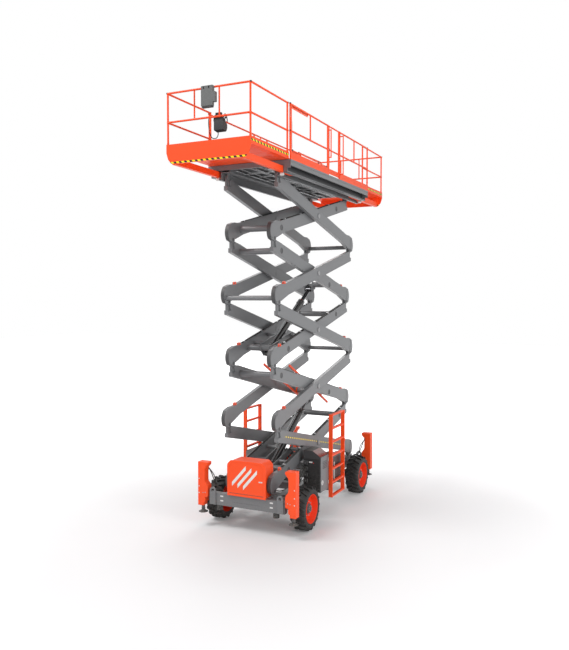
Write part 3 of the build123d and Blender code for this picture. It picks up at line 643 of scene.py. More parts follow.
# ---------------------------------------------------------------- what the frame says
@dataclass(frozen=True)
class Node:
    """Box of one frame node at rest."""

    low: np.ndarray
    high: np.ndarray

    @classmethod
    def of(cls, name: str) -> Node:
        """Measure a node by its name."""
        low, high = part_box(name)
        return cls(np.array(low), np.array(high))

    @property
    def middle(self) -> np.ndarray:
        """Middle of the box."""
        return (self.low + self.high) / 2

    @property
    def size(self) -> np.ndarray:
        """Full lengths of the box."""
        return self.high - self.low


def joint(name: str) -> dict[str, object]:
    """The frame's joint of that name."""
    return next(j for j in frame["joints"] if j["name"] == name)


@dataclass
class Assembly:
    """A sub-assembly, dressed with the machine's finishes."""

    palette: Palette


# ---------------------------------------------------------------- wheels
@dataclass
class Wheel(Assembly):
    """One lugged tyre on a deep dished rim with a stepped hub."""

    corner: str
    lugs: int = 17
    lug_height: float = 0.042
    design_half: float = 0.165
    nuts: int = 9
    nut_circle: float = 0.143
    bolt_circle: float = 0.060
    tyre_sharp: float = math.radians(28)

    def __post_init__(self) -> None:
        """Read its place and sizes from the tyre's and the rim's boxes."""
        tyre = Node.of(f"tyre_{self.corner}")
        self.centre = tyre.middle
        self.radius = tyre.size[2] / 2
        self.half = tyre.size[0] / 2
        self.rim_radius = Node.of(f"rim_{self.corner}").size[2] / 2
        self.axis = (math.copysign(1.0, self.centre[0]), 0.0, 0.0)

    def build(self) -> None:
        """Make the tyre and the rim."""
        corner, body = self.corner, f"wheel_{self.corner}"
        self.tyre().place(f"tyre_tread_{corner}", body, self.palette.pick("tyre_rubber"), "tyre_rubber",
                          (f"tyre_{corner}",), self.tyre_sharp)
        finishes = self.palette.pick("rim_orange", "end_grey", "pale_zinc")
        self.rim().place(f"wheel_rim_{corner}", body, finishes, "rim_paint", (f"rim_{corner}",))
        log.info("wheel %s", corner)

    def tyre(self) -> Shell:
        """A carcass turned from its section, with two rows of slanted lugs set half a pitch apart.

        Each lug is a four-cornered section carried from just past the middle over the shoulder: at each
        station the section keeps its place across, its foot and top radius, its turn and its half width.

        Returns:
            The shell.
        """
        shell = Shell()
        w, r, crown = self.half, self.rim_radius + 0.0005, self.radius - self.lug_height
        section = [(r, -w + 0.012), (r + 0.012, -w + 0.003), (r + 0.035, -w + 0.004), (r + 0.06, -w + 0.001),
                   (crown - 0.045, -w), (crown - 0.016, -w + 0.010), (crown - 0.003, -w + 0.036),
                   (crown, -w + 0.085), (crown, 0)]
        loop = section + [(a, -b) for a, b in section[-2::-1]] + [(r, 0.0)]
        shell.turned(loop, self.centre, self.axis, 76, loop=True)
        across = np.array([-0.010, 0.045, 0.090, 0.122, 0.145, 0.158, 0.1625]) * w / self.design_half
        foot = crown - np.array([0.006, 0.006, 0.006, 0.012, 0.022, 0.045, 0.075])
        top = self.radius - np.array([0.0, 0.0, 0.0, 0.003, 0.012, 0.040, 0.085])
        turn = np.array([0.0, 0.060, 0.118, 0.150, 0.166, 0.172, 0.174])
        wide = np.array([0.050, 0.050, 0.058, 0.066, 0.068, 0.066, 0.055])
        basis = frame_of(self.axis)
        corners = ((foot, wide * 0.62), (top, wide * 0.42), (top, -wide * 0.42), (foot, -wide * 0.62))
        for row in SIDES:
            for k in range(self.lugs):
                middle = 2 * math.pi * (k + (0.5 if row > 0 else 0)) / self.lugs + turn
                ring = np.stack([
                    np.stack([r * np.cos(middle + half), r * np.sin(middle + half), row * across], -1) @ basis
                    for r, half in corners
                ], axis=1)
                shell.grid(self.centre + (ring if row > 0 else ring[:, ::-1]))
        return shell

    def rim(self) -> Shell:
        """A rim turned as one closed loop, a disc, a stepped hub and a ring of nuts.

        Returns:
            The shell.
        """
        shell = Shell()
        r, w = self.rim_radius, self.half
        loop = [(r - 0.001, w - 0.030), (r - 0.001, w - 0.012), (r - 0.006, w - 0.004),
                (r - 0.016, w - 0.002), (r - 0.024, w - 0.008), (r - 0.030, w - 0.024),
                (r - 0.044, w - 0.050), (r - 0.058, w - 0.085), (r - 0.070, w - 0.108),
                (r - 0.092, w - 0.118), (r - 0.120, w - 0.120), (0.176, w - 0.118),
                (0.166, w - 0.106), (0.122, w - 0.102), (0.105, w - 0.104), (0.105, w - 0.135),
                (r - 0.052, w - 0.140), (r - 0.040, w - 0.170), (r - 0.018, -w + 0.050),
                (r - 0.012, -w + 0.012), (r - 0.004, -w + 0.006), (r - 0.001, -w + 0.020)]
        shell.turned(loop, self.centre, self.axis, 64, loop=True)
        hub = [(0.106, w - 0.125), (0.106, w - 0.082), (0.102, w - 0.074), (0.086, w - 0.068),
               (0.082, w - 0.052), (0.076, w - 0.046), (0.034, w - 0.044), (0.030, w - 0.036),
               (0.008, w - 0.035)]
        shell.turned(hub, self.centre, self.axis, 40, 1)
        basis = frame_of(self.axis)
        for turn in np.linspace(0, 2 * math.pi, self.nuts, endpoint=False):
            out = math.cos(turn) * basis[0] + math.sin(turn) * basis[1]
            nut = self.centre + out * self.nut_circle + basis[2] * (w - 0.105)
            shell.hex(nut, self.axis, 0.014, 0.018, 2)
            bolt = self.centre + out * self.bolt_circle + basis[2] * (w - 0.046)
            shell.hex(bolt, self.axis, 0.007, 0.006, 2)
        return shell


# ---------------------------------------------------------------- scissor arms
class Pair(Enum):
    """The two pairs of arms that cross at each level."""

    INNER = "inner"
    OUTER = "outer"


# Ends of the inner pairs' cross tubes at each level: along from the bottom pivot, square to the pair.
TUBE_ENDS: dict[int, tuple[Span, ...]] = {
    1: ((0.700, -0.020), (3.762, 0.020)),
    2: ((1.194, -0.030), (3.900, 0.0)),
    3: ((0.700, -0.020), (3.500, 0.020)),
    4: ((1.194, -0.030), (3.890, 0.0)),
    5: ((0.360, 0.0), (3.500, 0.0)),
}


@dataclass
class ArmPair(Assembly):
    """Fittings of one pair of box beams: pivot bosses, end rims, stops, weld seams, hoses and tape."""

    level: int
    pair: Pair
    drop: float = 0.160
    low_edge: float = -0.118
    high_edge: float = 0.140
    half_thickness: float = 0.043
    inner_x: float = 0.484
    outer_x: float = 0.585
    top_level: int = 5
    stop_place: float = 0.375
    hose_pitch: float = 0.021
    hose_radius: float = 0.0075

    def __post_init__(self) -> None:
        """Work out the pair's pivots from the frame's joints."""
        foot = np.array(joint("lift")["pos_m"])
        rise = joint("inner_knuckle_1")["pos_m"][2] - foot[2]
        self.inner = self.pair is Pair.INNER
        self.name = f"{self.pair.value}_arm_{self.level}"
        self.lean = (1 if self.level % 2 else -1) * (1 if self.inner else -1)
        half_span = math.hypot(foot[1], rise / 2)
        self.reach = math.sqrt(half_span**2 - self.drop**2)
        tilt = math.atan2(rise, -2 * foot[1]) - math.asin(self.drop / half_span)
        self.along = np.array([0, self.lean * math.cos(tilt), math.sin(tilt)])
        self.up = np.array([0, -self.lean * math.sin(tilt), math.cos(tilt)])
        self.middle = np.array([0, 0, foot[2] + (self.level - 0.5) * rise])
        self.half_x = self.inner_x if self.inner else self.outer_x

    def at(self, along: float, square: float, x: float) -> np.ndarray:
        """Place given by its distance along the pair, square to it and across the machine."""
        return self.middle + along * self.along + square * self.up + (x, 0, 0)

    def basis(self, facing: int) -> np.ndarray:
        """Frame whose third row faces across the machine."""
        first = self.along * facing * self.lean
        return np.array([first, np.cross((facing, 0, 0), first), (facing, 0, 0)])

    def faces(self) -> list[tuple[int, int, float]]:
        """Each side face of the two beams: the side, the way that it faces and its place across."""
        return [(s, f, s * self.half_x + f * self.half_thickness) for s in SIDES for f in SIDES]

    def build(self) -> None:
        """Make the fittings, the hoses and the tape."""
        shell = Shell()
        for side, facing, x in self.faces():
            self.bosses(shell, facing, x)
            if facing == side:
                self.end_plate(shell, facing, x)
        for side in SIDES:
            self.end_cover(shell, side)
            if self.inner:
                self.plugs(shell, side)
            if self.level < self.top_level:
                self.stop(shell, side)
        self.weld_beads(shell)
        finishes = self.palette.pick("grey_paint", "end_grey", "pin_grey", "orange_paint")
        shell.place(f"{self.name}_fittings", self.name, finishes, "arm_paint")
        if self.inner:
            self.hoses()
        elif self.level == 1:
            self.tape()
        log.info("%s", self.name)

    def end_arc(self, inset: float, steps: int = 15) -> np.ndarray:
        """Points of the beam's round end, from its crown down to its lower corner.

        The arc is the circle through the crown, the foremost point and the corner; its middle is where the
        lines halfway between those points cross.

        Args:
            inset: how far inside the beam's own outline it lies.
            steps: number of points.

        Returns:
            n by 2 points, along and square to the pair.
        """
        foot = np.array([-self.reach, -self.drop])
        crown, bulge = (-self.reach - 0.035, self.high_edge + 0.035), foot + (-0.168, 0.170)
        points = np.array([crown, bulge, foot + (-0.140, 0.010)])
        sides = 2 * (points[1:] - points[0])
        centre = np.linalg.solve(sides, (points[1:] ** 2).sum(1) - (points[0] ** 2).sum())
        radius = float(np.linalg.norm(points[0] - centre)) - inset
        first, last = (math.atan2(*(point - centre)[::-1]) for point in (points[0], points[2]))
        turn = np.linspace(first, last + 2 * math.pi if last < first else last, steps)
        return centre + radius * np.stack([np.cos(turn), np.sin(turn)], -1)

    def end_cover(self, shell: Shell, side: int) -> None:
        """A dark strip bent over the beam's round end, with two small bolts near its lower edge.

        Args:
            shell: where the surfaces go.
            side: 1 on the machine's left, -1 on its right.
        """
        arc_in, arc_out = self.end_arc(0.001)[1:-1], self.end_arc(-0.0025)[1:-1]
        half = self.half_thickness - 0.003
        middle = side * self.half_x
        rings = np.stack([
            self.at(points[:, :1], points[:, 1:], middle + x)
            for points, x in ((arc_in, -half), (arc_out, -half), (arc_out, half), (arc_in, half))
        ], axis=1)
        shell.grid(rings if self.lean > 0 else rings[:, ::-1], 1)
        for step in (-3, -6):
            out = unit(arc_out[step] - arc_in[step])
            axis = out[0] * self.along + out[1] * self.up
            shell.hex(self.at(*arc_out[step], middle), axis, 0.012, 0.006, 1)

    def end_plate(self, shell: Shell, facing: int, x: float) -> None:
        """A half-round plate on the beam's end, a little inside its outline, with a bolt at each corner.

        Args:
            shell: where the surfaces go.
            facing: the way that the face looks along X.
            x: the face's place across the machine.
        """
        thick = 0.005
        chord = [(-self.reach + 0.002, -self.drop + 0.035), (-self.reach + 0.012, self.high_edge + 0.030)]
        outline = anticlockwise(np.vstack([self.end_arc(0.010), chord]))
        basis = np.array([self.along, self.up, np.cross(self.along, self.up)])
        shell.prism(outline, basis, self.at(0, 0, x + thick / 2 * facing), thick, thick * 0.4)
        for along, square in ((-0.115, -0.130), (-0.030, 0.155)):
            spot = self.at(along - self.reach, square, x + facing * thick)
            shell.hex(spot, (facing, 0, 0), 0.010, 0.005, 1)

    def plugs(self, shell: Shell, side: int) -> None:
        """Dark plugs on the outer face where the pair's cross tubes end.

        Args:
            shell: where the surfaces go.
            side: 1 on the machine's left, -1 on its right.
        """
        for along, square in TUBE_ENDS[self.level]:
            spot = self.at(along - self.reach, square, side * (self.half_x + self.half_thickness))
            ring = [(0.062, -0.001), (0.062, 0.002), (0.058, 0.003), (0.055, 0.0012), (0.002, 0.0012)]
            shell.turned(ring, spot, (side, 0, 0), 28, 1)

    def bosses(self, shell: Shell, facing: int, x: float) -> None:
        """Round bosses at the centre and the bottom pivot of a side face.

        Args:
            shell: where the surfaces go.
            facing: the way that the face looks along X.
            x: the face's place across the machine.
        """
        axis, centre = (facing, 0, 0), self.at(0, 0, x)
        if not self.inner and facing * x > 0:
            shell.turned([(0.066, -0.001), (0.066, 0.003), (0.062, 0.005), (0.050, 0.005)], centre, axis, 32)
            cap = [(0.049, 0.002), (0.049, 0.014), (0.045, 0.018), (0.014, 0.018), (0.012, 0.015),
                   (0.002, 0.015)]
            shell.turned(cap, centre, axis, 28, 2)
        else:
            shell.turned([(0.058, -0.001), (0.058, 0.003), (0.054, 0.005), (0.041, 0.005)], centre, axis, 28)
        head = [(0.040, -0.001), (0.040, 0.003), (0.036, 0.0045), (0.016, 0.0045), (0.014, 0.002),
                (0.002, 0.002)]
        shell.turned(head, self.at(-self.reach, -self.drop, x), axis, 24, 1)

    def stop(self, shell: Shell, side: int) -> None:
        """Round stop on a beam's upper edge, over its block of the frame.

        Args:
            shell: where the surfaces go.
            side: 1 on the machine's left, -1 on its right.
        """
        profile = [(0.043, 0.0), (0.043, 0.008), (0.038, 0.012), (0.038, 0.036), (0.034, 0.0425),
                   (0.004, 0.0428)]
        place = self.at(self.stop_place - self.reach, self.high_edge, side * self.half_x)
        shell.turned(profile, place, self.up, 24, 3)

    def weld_beads(self, shell: Shell) -> None:
        """Thin seams along the side faces, where the beams' side plates meet their flanges.

        Args:
            shell: where the surfaces go.
        """
        for _, facing, x in self.faces():
            for square in (self.low_edge + 0.012, self.high_edge - 0.012):
                half = (self.reach - 0.50, 0.0035, 0.0016)
                shell.block(self.at(0.03, square, x + facing * 0.0006), half, self.basis(facing), 0.001)

    def hoses(self) -> None:
        """Three hoses along the left beam's upper edge and two along the right beam's, held by clamps."""
        shell = Shell()
        t = np.linspace(0, 1, 40)
        low, high = -self.reach + 0.48, self.reach - 0.22
        for side, count in ((1, 3), (-1, 2)):
            start, half = self.half_x - 0.020, self.hose_pitch / 2 * (count - 1)
            for k in range(count):
                wave = 0.009 + 0.0015 * np.sin(9 * math.pi * t + k)
                route = self.at((low + (high - low) * t)[:, None], (self.high_edge + wave)[:, None], 0)
                route[:, 0] = side * (start + self.hose_pitch * k) + 0.002 * np.sin(7 * math.pi * t + 2 * k)
                shell.tube(route, self.hose_radius)
            for place in np.linspace(-self.reach + 0.6, self.reach - 0.35, 5):
                middle = self.at(place, self.high_edge + 0.011, side * (start + half))
                basis = np.array([self.along, X_AXIS, self.up])
                shell.block(middle, (0.014, 0.0125 + half, 0.012), basis, 0.003, 1)
        finishes = self.palette.pick("hose_rubber", "pale_zinc")
        shell.place(f"{self.name}_hoses", self.name, finishes, "black_plastic")

    def tape(self) -> None:
        """A dashed warning strip along the outer faces, broken at the centre pivot."""
        shell = Shell()
        for side in SIDES:
            x = side * (self.half_x + self.half_thickness + 0.0006)
            for start, end in ((-1.74, -0.09), (0.09, 1.84)):
                half = ((end - start) / 2, 0.013, 0.0009)
                shell.block(self.at((start + end) / 2, 0.018, x), half, self.basis(side), 0.0004)
        shell.place(f"{self.name}_tape", self.name, self.palette.pick("dash_tape"), "arm_paint")


# ---------------------------------------------------------------- studio
def stand(name: str, data: bpy.types.ID) -> bpy.types.Object:
    """Put a mesh, lamp or camera into the scene under a name.

    Args:
        name: its name.
        data: what it shows.

    Returns:
        The new object.
    """
    holder = bpy.data.objects.new(name, data)
    bpy.context.scene.collection.objects.link(holder)
    return holder


@dataclass
class Studio:
    """Floor, sky, lamps and camera."""

    camera_place: Vec = (6.932, -14.825, 4.8125)
    camera_turn: Vec = (math.radians(90 - 2.133), 0.0, math.radians(25.81))
    lens: float = 38.97
    floor_half: float = 60.0
    # The floor's glow is painted: low in a pool round the machine as painted shade, rising outwards into the
    # white sky.
    shade_pool_middle: Vec = (0.7, -2.9, 0.0)
    shade_pool_reach: float = 16.0
    painted_pool_glow: tuple[Span, ...] = ((0.0, 0.02), (1.2, 0.03), (2.6, 0.13), (4.2, 0.14), (5.6, 0.22),
                                   (7.0, 0.30), (10.0, 0.60), (16.0, 1.0))

    def build(self) -> None:
        """Set the stage up."""
        self.floor()
        self.sky()
        self.lamp("key", (-7.5, -9.5, 17.0), (0, 0, 3.0), 7.0, 1500)
        self.lamp("fill", (15.0, -7.0, 7.0), (0, 0, 3.5), 9.0, 1150)
        self.lamp("rim", (-4.0, 14.0, 14.0), (0, 0, 5.0), 9.0, 700)
        self.lamp("low", (2.0, -12.0, 1.6), (0, 0, 6.0), 6.0, 110)
        camera = bpy.data.cameras.new("camera")
        camera.lens = self.lens
        camera.sensor_width = 36.0
        camera.clip_end = 300.0
        holder = stand("camera", camera)
        holder.location = self.camera_place
        holder.rotation_euler = self.camera_turn
        bpy.context.scene.camera = holder
        bpy.context.scene.view_settings.view_transform = "Standard"
        log.info("studio")

    def floor(self) -> None:
        """A wide pale floor that looks brighter straight from the camera and keeps its shadows.

        It glows towards the camera and in reflections by a ramp over the distance from the pool's middle,
        so the floor fades into the white sky. The ramp paints shade and light: its glow stays low in a pool
        round the machine, a painted pool of shade, and rises outwards.
        """
        half = self.floor_half
        mesh = bpy.data.meshes.new("floor")
        corners = [(-half, -half, 0), (half, -half, 0), (half, half, 0), (-half, half, 0)]
        mesh.from_pydata(corners, [], [(0, 1, 2, 3)])
        material = bpy.data.materials.new("floor_matt")
        material.use_nodes = True
        net = Net(material.node_tree)
        place = net.place()
        grain = net.add("TexNoise", Vector=place, Scale=0.35, Detail=2.0)
        tone = net.mix(grain.outputs["Fac"], (0.83, 0.818, 0.814, 1), (0.87, 0.862, 0.858, 1))
        # Painted shade and light: the glow is low near the pool's middle and grows with distance from it.
        shift = net.add("VectorMath", place, self.shade_pool_middle, operation="SUBTRACT")
        reach = net.add("VectorMath", shift.outputs[0], operation="LENGTH").outputs["Value"]
        fade = net.add("ValToRGB", net.math("DIVIDE", reach, self.shade_pool_reach))
        fade.color_ramp.interpolation = "B_SPLINE"
        for k, (distance, level) in enumerate(self.painted_pool_glow):
            stop = fade.color_ramp.elements[k] if k < 2 else fade.color_ramp.elements.new(1.0)
            stop.position = distance / self.shade_pool_reach
            stop.color = (level, level, level, 1)
        ray = net.add("LightPath").outputs
        seen = net.math("MAXIMUM", ray["Is Camera Ray"], ray["Is Glossy Ray"])
        net.fill(net.tree.nodes["Principled BSDF"], Base_Color=tone, Roughness=0.7, Specular_IOR_Level=0.15,
                 Emission_Color=(1, 1, 1, 1),
                 Emission_Strength=net.math("MULTIPLY", seen, fade.outputs["Color"]))
        mesh.materials.append(material)
        stand("floor", mesh)

    def sky(self) -> None:
        """White to the camera, in reflections and through glass, softer as light."""
        world = bpy.data.worlds.new("studio")
        bpy.context.scene.world = world
        world.use_nodes = True
        net = Net(world.node_tree)
        soft = net.fill(net.tree.nodes["Background"], Color=(0.86, 0.87, 0.90, 1), Strength=0.52)
        white = net.add("Background", Color=(1, 1, 1, 1), Strength=1.0)
        ray = net.add("LightPath").outputs
        seen = net.math("MAXIMUM", ray["Is Camera Ray"], ray["Is Glossy Ray"])
        seen = net.math("MAXIMUM", seen, ray["Is Transmission Ray"])
        mixed = net.add("MixShader", seen, soft.outputs[0], white.outputs[0])
        net.feed(net.tree.nodes["World Output"].inputs["Surface"], mixed.outputs[0])

    def lamp(self, name: str, place: Vec, target: Vec, size: float, power: float) -> None:
        """Add a square area lamp.

        Args:
            name: its name.
            place: where it hangs.
            target: what it points at.
            size: its side.
            power: its strength in watts.
        """
        light = bpy.data.lights.new(name, "AREA")
        light.size = size
        light.energy = power
        holder = stand(name, light)
        holder.location = place
        back = unit(np.subtract(place, target))
        side = unit(np.cross(Z_AXIS, back))
        holder.rotation_euler = Matrix(np.array([side, np.cross(back, side), back]).T.tolist()).to_euler()


# ---------------------------------------------------------------- hood and outriggers
def rounded(corners: list[Span], radii: list[float], steps: int = 5) -> np.ndarray:
    """An outline with each corner rounded: a quadratic curve between the corner's two cut points.

    A point at share t is (1 - t) squared times the first cut point, plus 2 t (1 - t) times the corner,
    plus t squared times the second.

    Args:
        corners: the outline's corners in order.
        radii: length cut from each edge at each corner, 0 for a sharp one.
        steps: points on each rounded corner.

    Returns:
        n by 2 points.
    """
    p = np.array(corners, float)
    before, after = unit(np.roll(p, 1, 0) - p), unit(np.roll(p, -1, 0) - p)
    t = np.linspace(0, 1, steps)[:, None]
    out = []
    for k, cut in enumerate(radii):
        a, c = p[k] + before[k] * cut, p[k] + after[k] * cut
        out.append(p[k][None] if cut == 0 else (1 - t) ** 2 * a + 2 * t * (1 - t) * p[k] + t**2 * c)
    return np.vstack(out)


@dataclass
class Hood(Assembly):
    """The orange hood at the front end: a thin shell with a raised border, pale slanted bars and a latch."""

    node: str = "front_hood"
    body: str = "hood"
    corner: float = 0.085
    corner_cut: float = 0.035
    wall: float = 0.004
    body_half: float = 0.425
    body_drop: float = 0.012
    sharp: float = math.radians(26)

    def build(self) -> None:
        """Make the shell and what is fixed to it."""
        box = Node.of(self.node)
        self.low, self.high = box.low, box.high
        self.shell_piece()
        self.details()
        log.info("hood")

    def outline(self, inset: float, body: bool) -> np.ndarray:
        """Front outline from bottom left over the top to bottom right, in X and Z.

        Args:
            inset: how far it lies inside the full outline.
            body: whether it is the narrower body behind the front panel.

        Returns:
            n by 2 points.
        """
        left, right, high = self.low[0] + inset, self.high[0] - inset, self.high[2] - inset
        if body:
            left, right, high = inset - self.body_half, self.body_half - inset, high - self.body_drop
        cut, low = self.corner - 0.4 * inset, self.low[2]
        corners = [(left, low), (left, high - cut), (left + cut, high), (right - cut, high),
                   (right, high - cut), (right, low)]
        return rounded(corners, [0, *[self.corner_cut] * 4, 0])

    def shell_piece(self) -> None:
        """Rings of the outline, each moved inwards by an inset and set at its own depth.

        The first and last rings are the outline dropped on to the bottom edge, so the front and rear
        panels close down to an open bottom. A wall is then given inwards.
        """
        front, back = self.low[1], self.high[1]
        panel = ((0.046, 0.006), (0.042, 0.0035), (0.038, 0.0005), (0.012, 0.0), (0.003, 0.002), (0.0, 0.005),
                 (0.003, 0.0078))
        sides = ((0.004, front + 0.009), (0.0, front + 0.012), (0.0, back - 0.014), (0.004, back - 0.004),
                 (0.014, back))
        steps = [(inset, front + depth, False) for inset, depth in panel] + [(*step, True) for step in sides]
        rings = [np.insert(self.outline(inset, body), 1, y, axis=1) for inset, y, body in steps]
        rings = [rings[0].copy(), *rings, rings[-1].copy()]
        for dropped in (rings[0], rings[-1]):
            dropped[:, 2] = self.low[2]
        shell = Shell()
        shell.grid(np.stack(rings)[:, ::-1], wrap=False)
        finishes = self.palette.pick("orange_paint")
        piece = shell.place("hood_shell", self.body, finishes, "hood_paint", (self.node,))
        merge(piece, self.sharp)
        wall = piece.modifiers.new("wall", "SOLIDIFY")
        wall.thickness = self.wall
        wall.offset = -1
        level = piece.modifiers.new("level_normals", "WEIGHTED_NORMAL")
        level.keep_sharp = True

    def details(self) -> None:
        """Pale bars, the lower seam, the latch, hinges and screws."""
        shell = Shell()
        front, low = self.low[1] + 0.0055, self.low[2]
        middle = (self.low[0] + self.high[0]) / 2
        reach, width = 0.36, 0.085
        bar = [(0, 0), (reach * 0.9, reach), (reach * 0.9, reach + width), (0, width)]
        for x, z in ((-0.335, 0.20), (-0.205, 0.17), (-0.075, 0.14)):
            shell.prism(bar, FRONT, (middle + x, front, low + z), 0.0016, 0.0006)
        # Left, right, front, back, bottom and top from the panel's middle, then the bevel and the finish.
        for x0, x1, y0, y1, z0, z1, bevel, mark in (
            (-0.395, 0.395, -0.002, 0.001, 0.052, 0.060, 0.001, 1),
            (0.290, 0.372, -0.005, 0.002, 0.335, 0.358, 0.002, 4),
            (0.312, 0.350, -0.0054, -0.003, 0.341, 0.352, 0.001, 2),
        ):
            shell.box((middle + x0, front + y0, low + z0), (middle + x1, front + y1, low + z1), bevel, mark)
        y, z = self.low[1] + 0.004, low + 0.012
        for x in (-0.28, 0.28):
            shell.rod((x - 0.05, y, z), (x + 0.05, y, z), 0.009, mark=3)
        for side in SIDES:
            for y in np.linspace(self.low[1] + 0.06, self.high[1] - 0.05, 4):
                shell.turned([(0.009, 0), (0.009, 0.002), (0.006, 0.0045), (0.001, 0.005)],
                             (side * self.body_half, y, low + 0.030), (side, 0, 0), 12, 2)
        finishes = self.palette.pick("white_paint", "dark_paint", "pale_zinc", "orange_paint",
                                     "white_plastic")
        shell.place("hood_details", self.body, finishes, "hood_paint")


def merge(piece: bpy.types.Object, sharp: float, reach: float = 1e-5) -> None:
    """Join points that lie on each other and turn the faces outwards.

    Args:
        piece: the mesh object.
        sharp: edges folded more than this stay crisp.
        reach: points nearer than this are joined.
    """
    mesh = bmesh.new()
    mesh.from_mesh(piece.data)
    bmesh.ops.remove_doubles(mesh, verts=mesh.verts, dist=reach)
    bmesh.ops.dissolve_degenerate(mesh, dist=reach, edges=mesh.edges)
    bmesh.ops.recalc_face_normals(mesh, faces=mesh.faces)
    mesh.to_mesh(piece.data)
    mesh.free()
    piece.data.set_sharp_from_angle(angle=sharp)


@dataclass
class Outriggers(Assembly):
    """Four flame-cut leg housings with their reflectors, bolts and hoses, and four feet on their legs."""

    inner: float = 0.905
    neck: float = 0.978
    inner_face: float = 2.175
    leg_x: float = 1.055

    def build(self) -> None:
        """Make the housings as one piece, their trim as another and each foot as its own."""
        box = Node.of("outrigger_housings")
        shell, trim = Shell(), Shell()
        self.outer, low, self.top = box.high[0], box.low[2], box.high[2]
        depth = box.high[1] - self.inner_face
        self.y = (box.high[1] + self.inner_face) / 2
        inner, neck = self.inner, self.neck
        outline = rounded(
            [(neck + 0.030, low), (self.outer, low), (self.outer, self.top), (inner, self.top),
             (inner, 1.318), (neck, 1.245), (neck, 0.965), (inner, 0.885), (inner, 0.640),
             (neck - 0.006, 0.640), (neck - 0.006, 0.530), (neck + 0.030, 0.515)],
            [0.004, 0.004, 0.012, 0.020, 0.022, 0.045, 0.045, 0.040, 0.035, 0.004, 0.020, 0.010])
        for side in SIDES:
            for end in SIDES:
                shell.prism(anticlockwise(outline * (side, 1)), FRONT, (0, end * self.y, 0), depth, 0.005)
                self.trim(trim, side, end, end * (self.y + depth / 2))
                self.hose(trim, side, end)
        finishes = self.palette.pick("orange_paint")
        shell.place("outrigger_housing_plates", "chassis", finishes, "outrigger_paint",
                    ("outrigger_housings",))
        finishes = self.palette.pick("white_plastic", "pale_zinc", "orange_paint", "hose_rubber")
        trim.place("outrigger_trim", "chassis", finishes, "outrigger_paint")
        for corner in CORNERS:
            self.foot(corner)
        log.info("outriggers")

    def trim(self, shell: Shell, side: int, end: int, face: float) -> None:
        """Round reflectors, bolts, flat reflectors and the top cap of one housing.

        Args:
            shell: where they go.
            side: the machine's side.
            end: the machine's end.
            face: place of the housing's outer face along Y.
        """
        for z in (0.72, 0.86, 1.02):
            shell.turned([(0.012, -0.001), (0.012, 0.003), (0.009, 0.005), (0.001, 0.005)],
                         (side * (self.outer - 0.028), face, z), (0, end, 0), 12)
        for x, z in ((0.960, 0.74), (1.015, 0.73)):
            shell.turned([(0.010, -0.001), (0.010, 0.004), (0.006, 0.006), (0.001, 0.006)],
                         (side * x, face, z), (0, end, 0), 12, 1)
        for z in (0.60, 0.90, 1.20):
            shell.box((side * (self.outer - 0.002), end * (self.y - 0.045), z),
                      (side * (self.outer - 0.0004), end * (self.y + 0.02), z + 0.03), 0.0005)
        shell.turned([(0.052, -0.002), (0.052, 0.004), (0.046, 0.008), (0.001, 0.008)],
                     (side * self.leg_x, end * self.y, self.top - 0.006), Z_AXIS, 24, 2)

    def hose(self, shell: Shell, side: int, end: int) -> None:
        """Two hoses that loop from the housing's top down to the end of the chassis.

        Args:
            shell: where the surfaces go.
            side: 1 on the machine's left, -1 on its right.
            end: 1 at the rear, -1 at the front.
        """
        for k in range(2):
            route = np.array([(0.995 - 0.015 * k, -0.075, 1.24 - 0.05 * k), (0.985, -0.125, 1.20),
                              (0.93 - 0.03 * k, -0.18, 1.02 + 0.03 * k), (0.86, -0.17 - 0.03 * k, 0.86),
                              (0.74, -0.14, 0.80 + 0.02 * k), (0.64, -0.15, 0.745)])
            shell.tube(smooth_route((route + (0, self.y, 0)) * (side, end, 1)), 0.010, 8, 3)

    def foot(self, corner: str) -> None:
        """A foot turned from its section: pad, dome and neck, then the rod up into the housing.

        Args:
            corner: the leg's corner.
        """
        name = f"outrigger_leg_{corner}"
        box = Node.of(name)
        foot = (*box.middle[:2], box.low[2])
        shell = Shell()
        shell.turned([(0.090, 0.0), (0.100, 0.006), (0.099, 0.014), (0.060, 0.022), (0.052, 0.030),
                      (0.052, 0.040), (0.030, 0.050)], foot, Z_AXIS, 36, 1)
        shell.turned([(0.020, 0.045), (0.032, 0.056), (0.040, 0.072), (0.040, 0.090), (0.035, 0.098),
                      (0.035, 0.56), (0.0395, 0.565), (0.0395, 0.675), (0.034, 0.680)], foot, Z_AXIS, 28)
        finishes = self.palette.pick("end_grey", "dark_paint")
        shell.place(f"{name}_foot", f"leg_{corner}", finishes, "leg_steel", (name,))


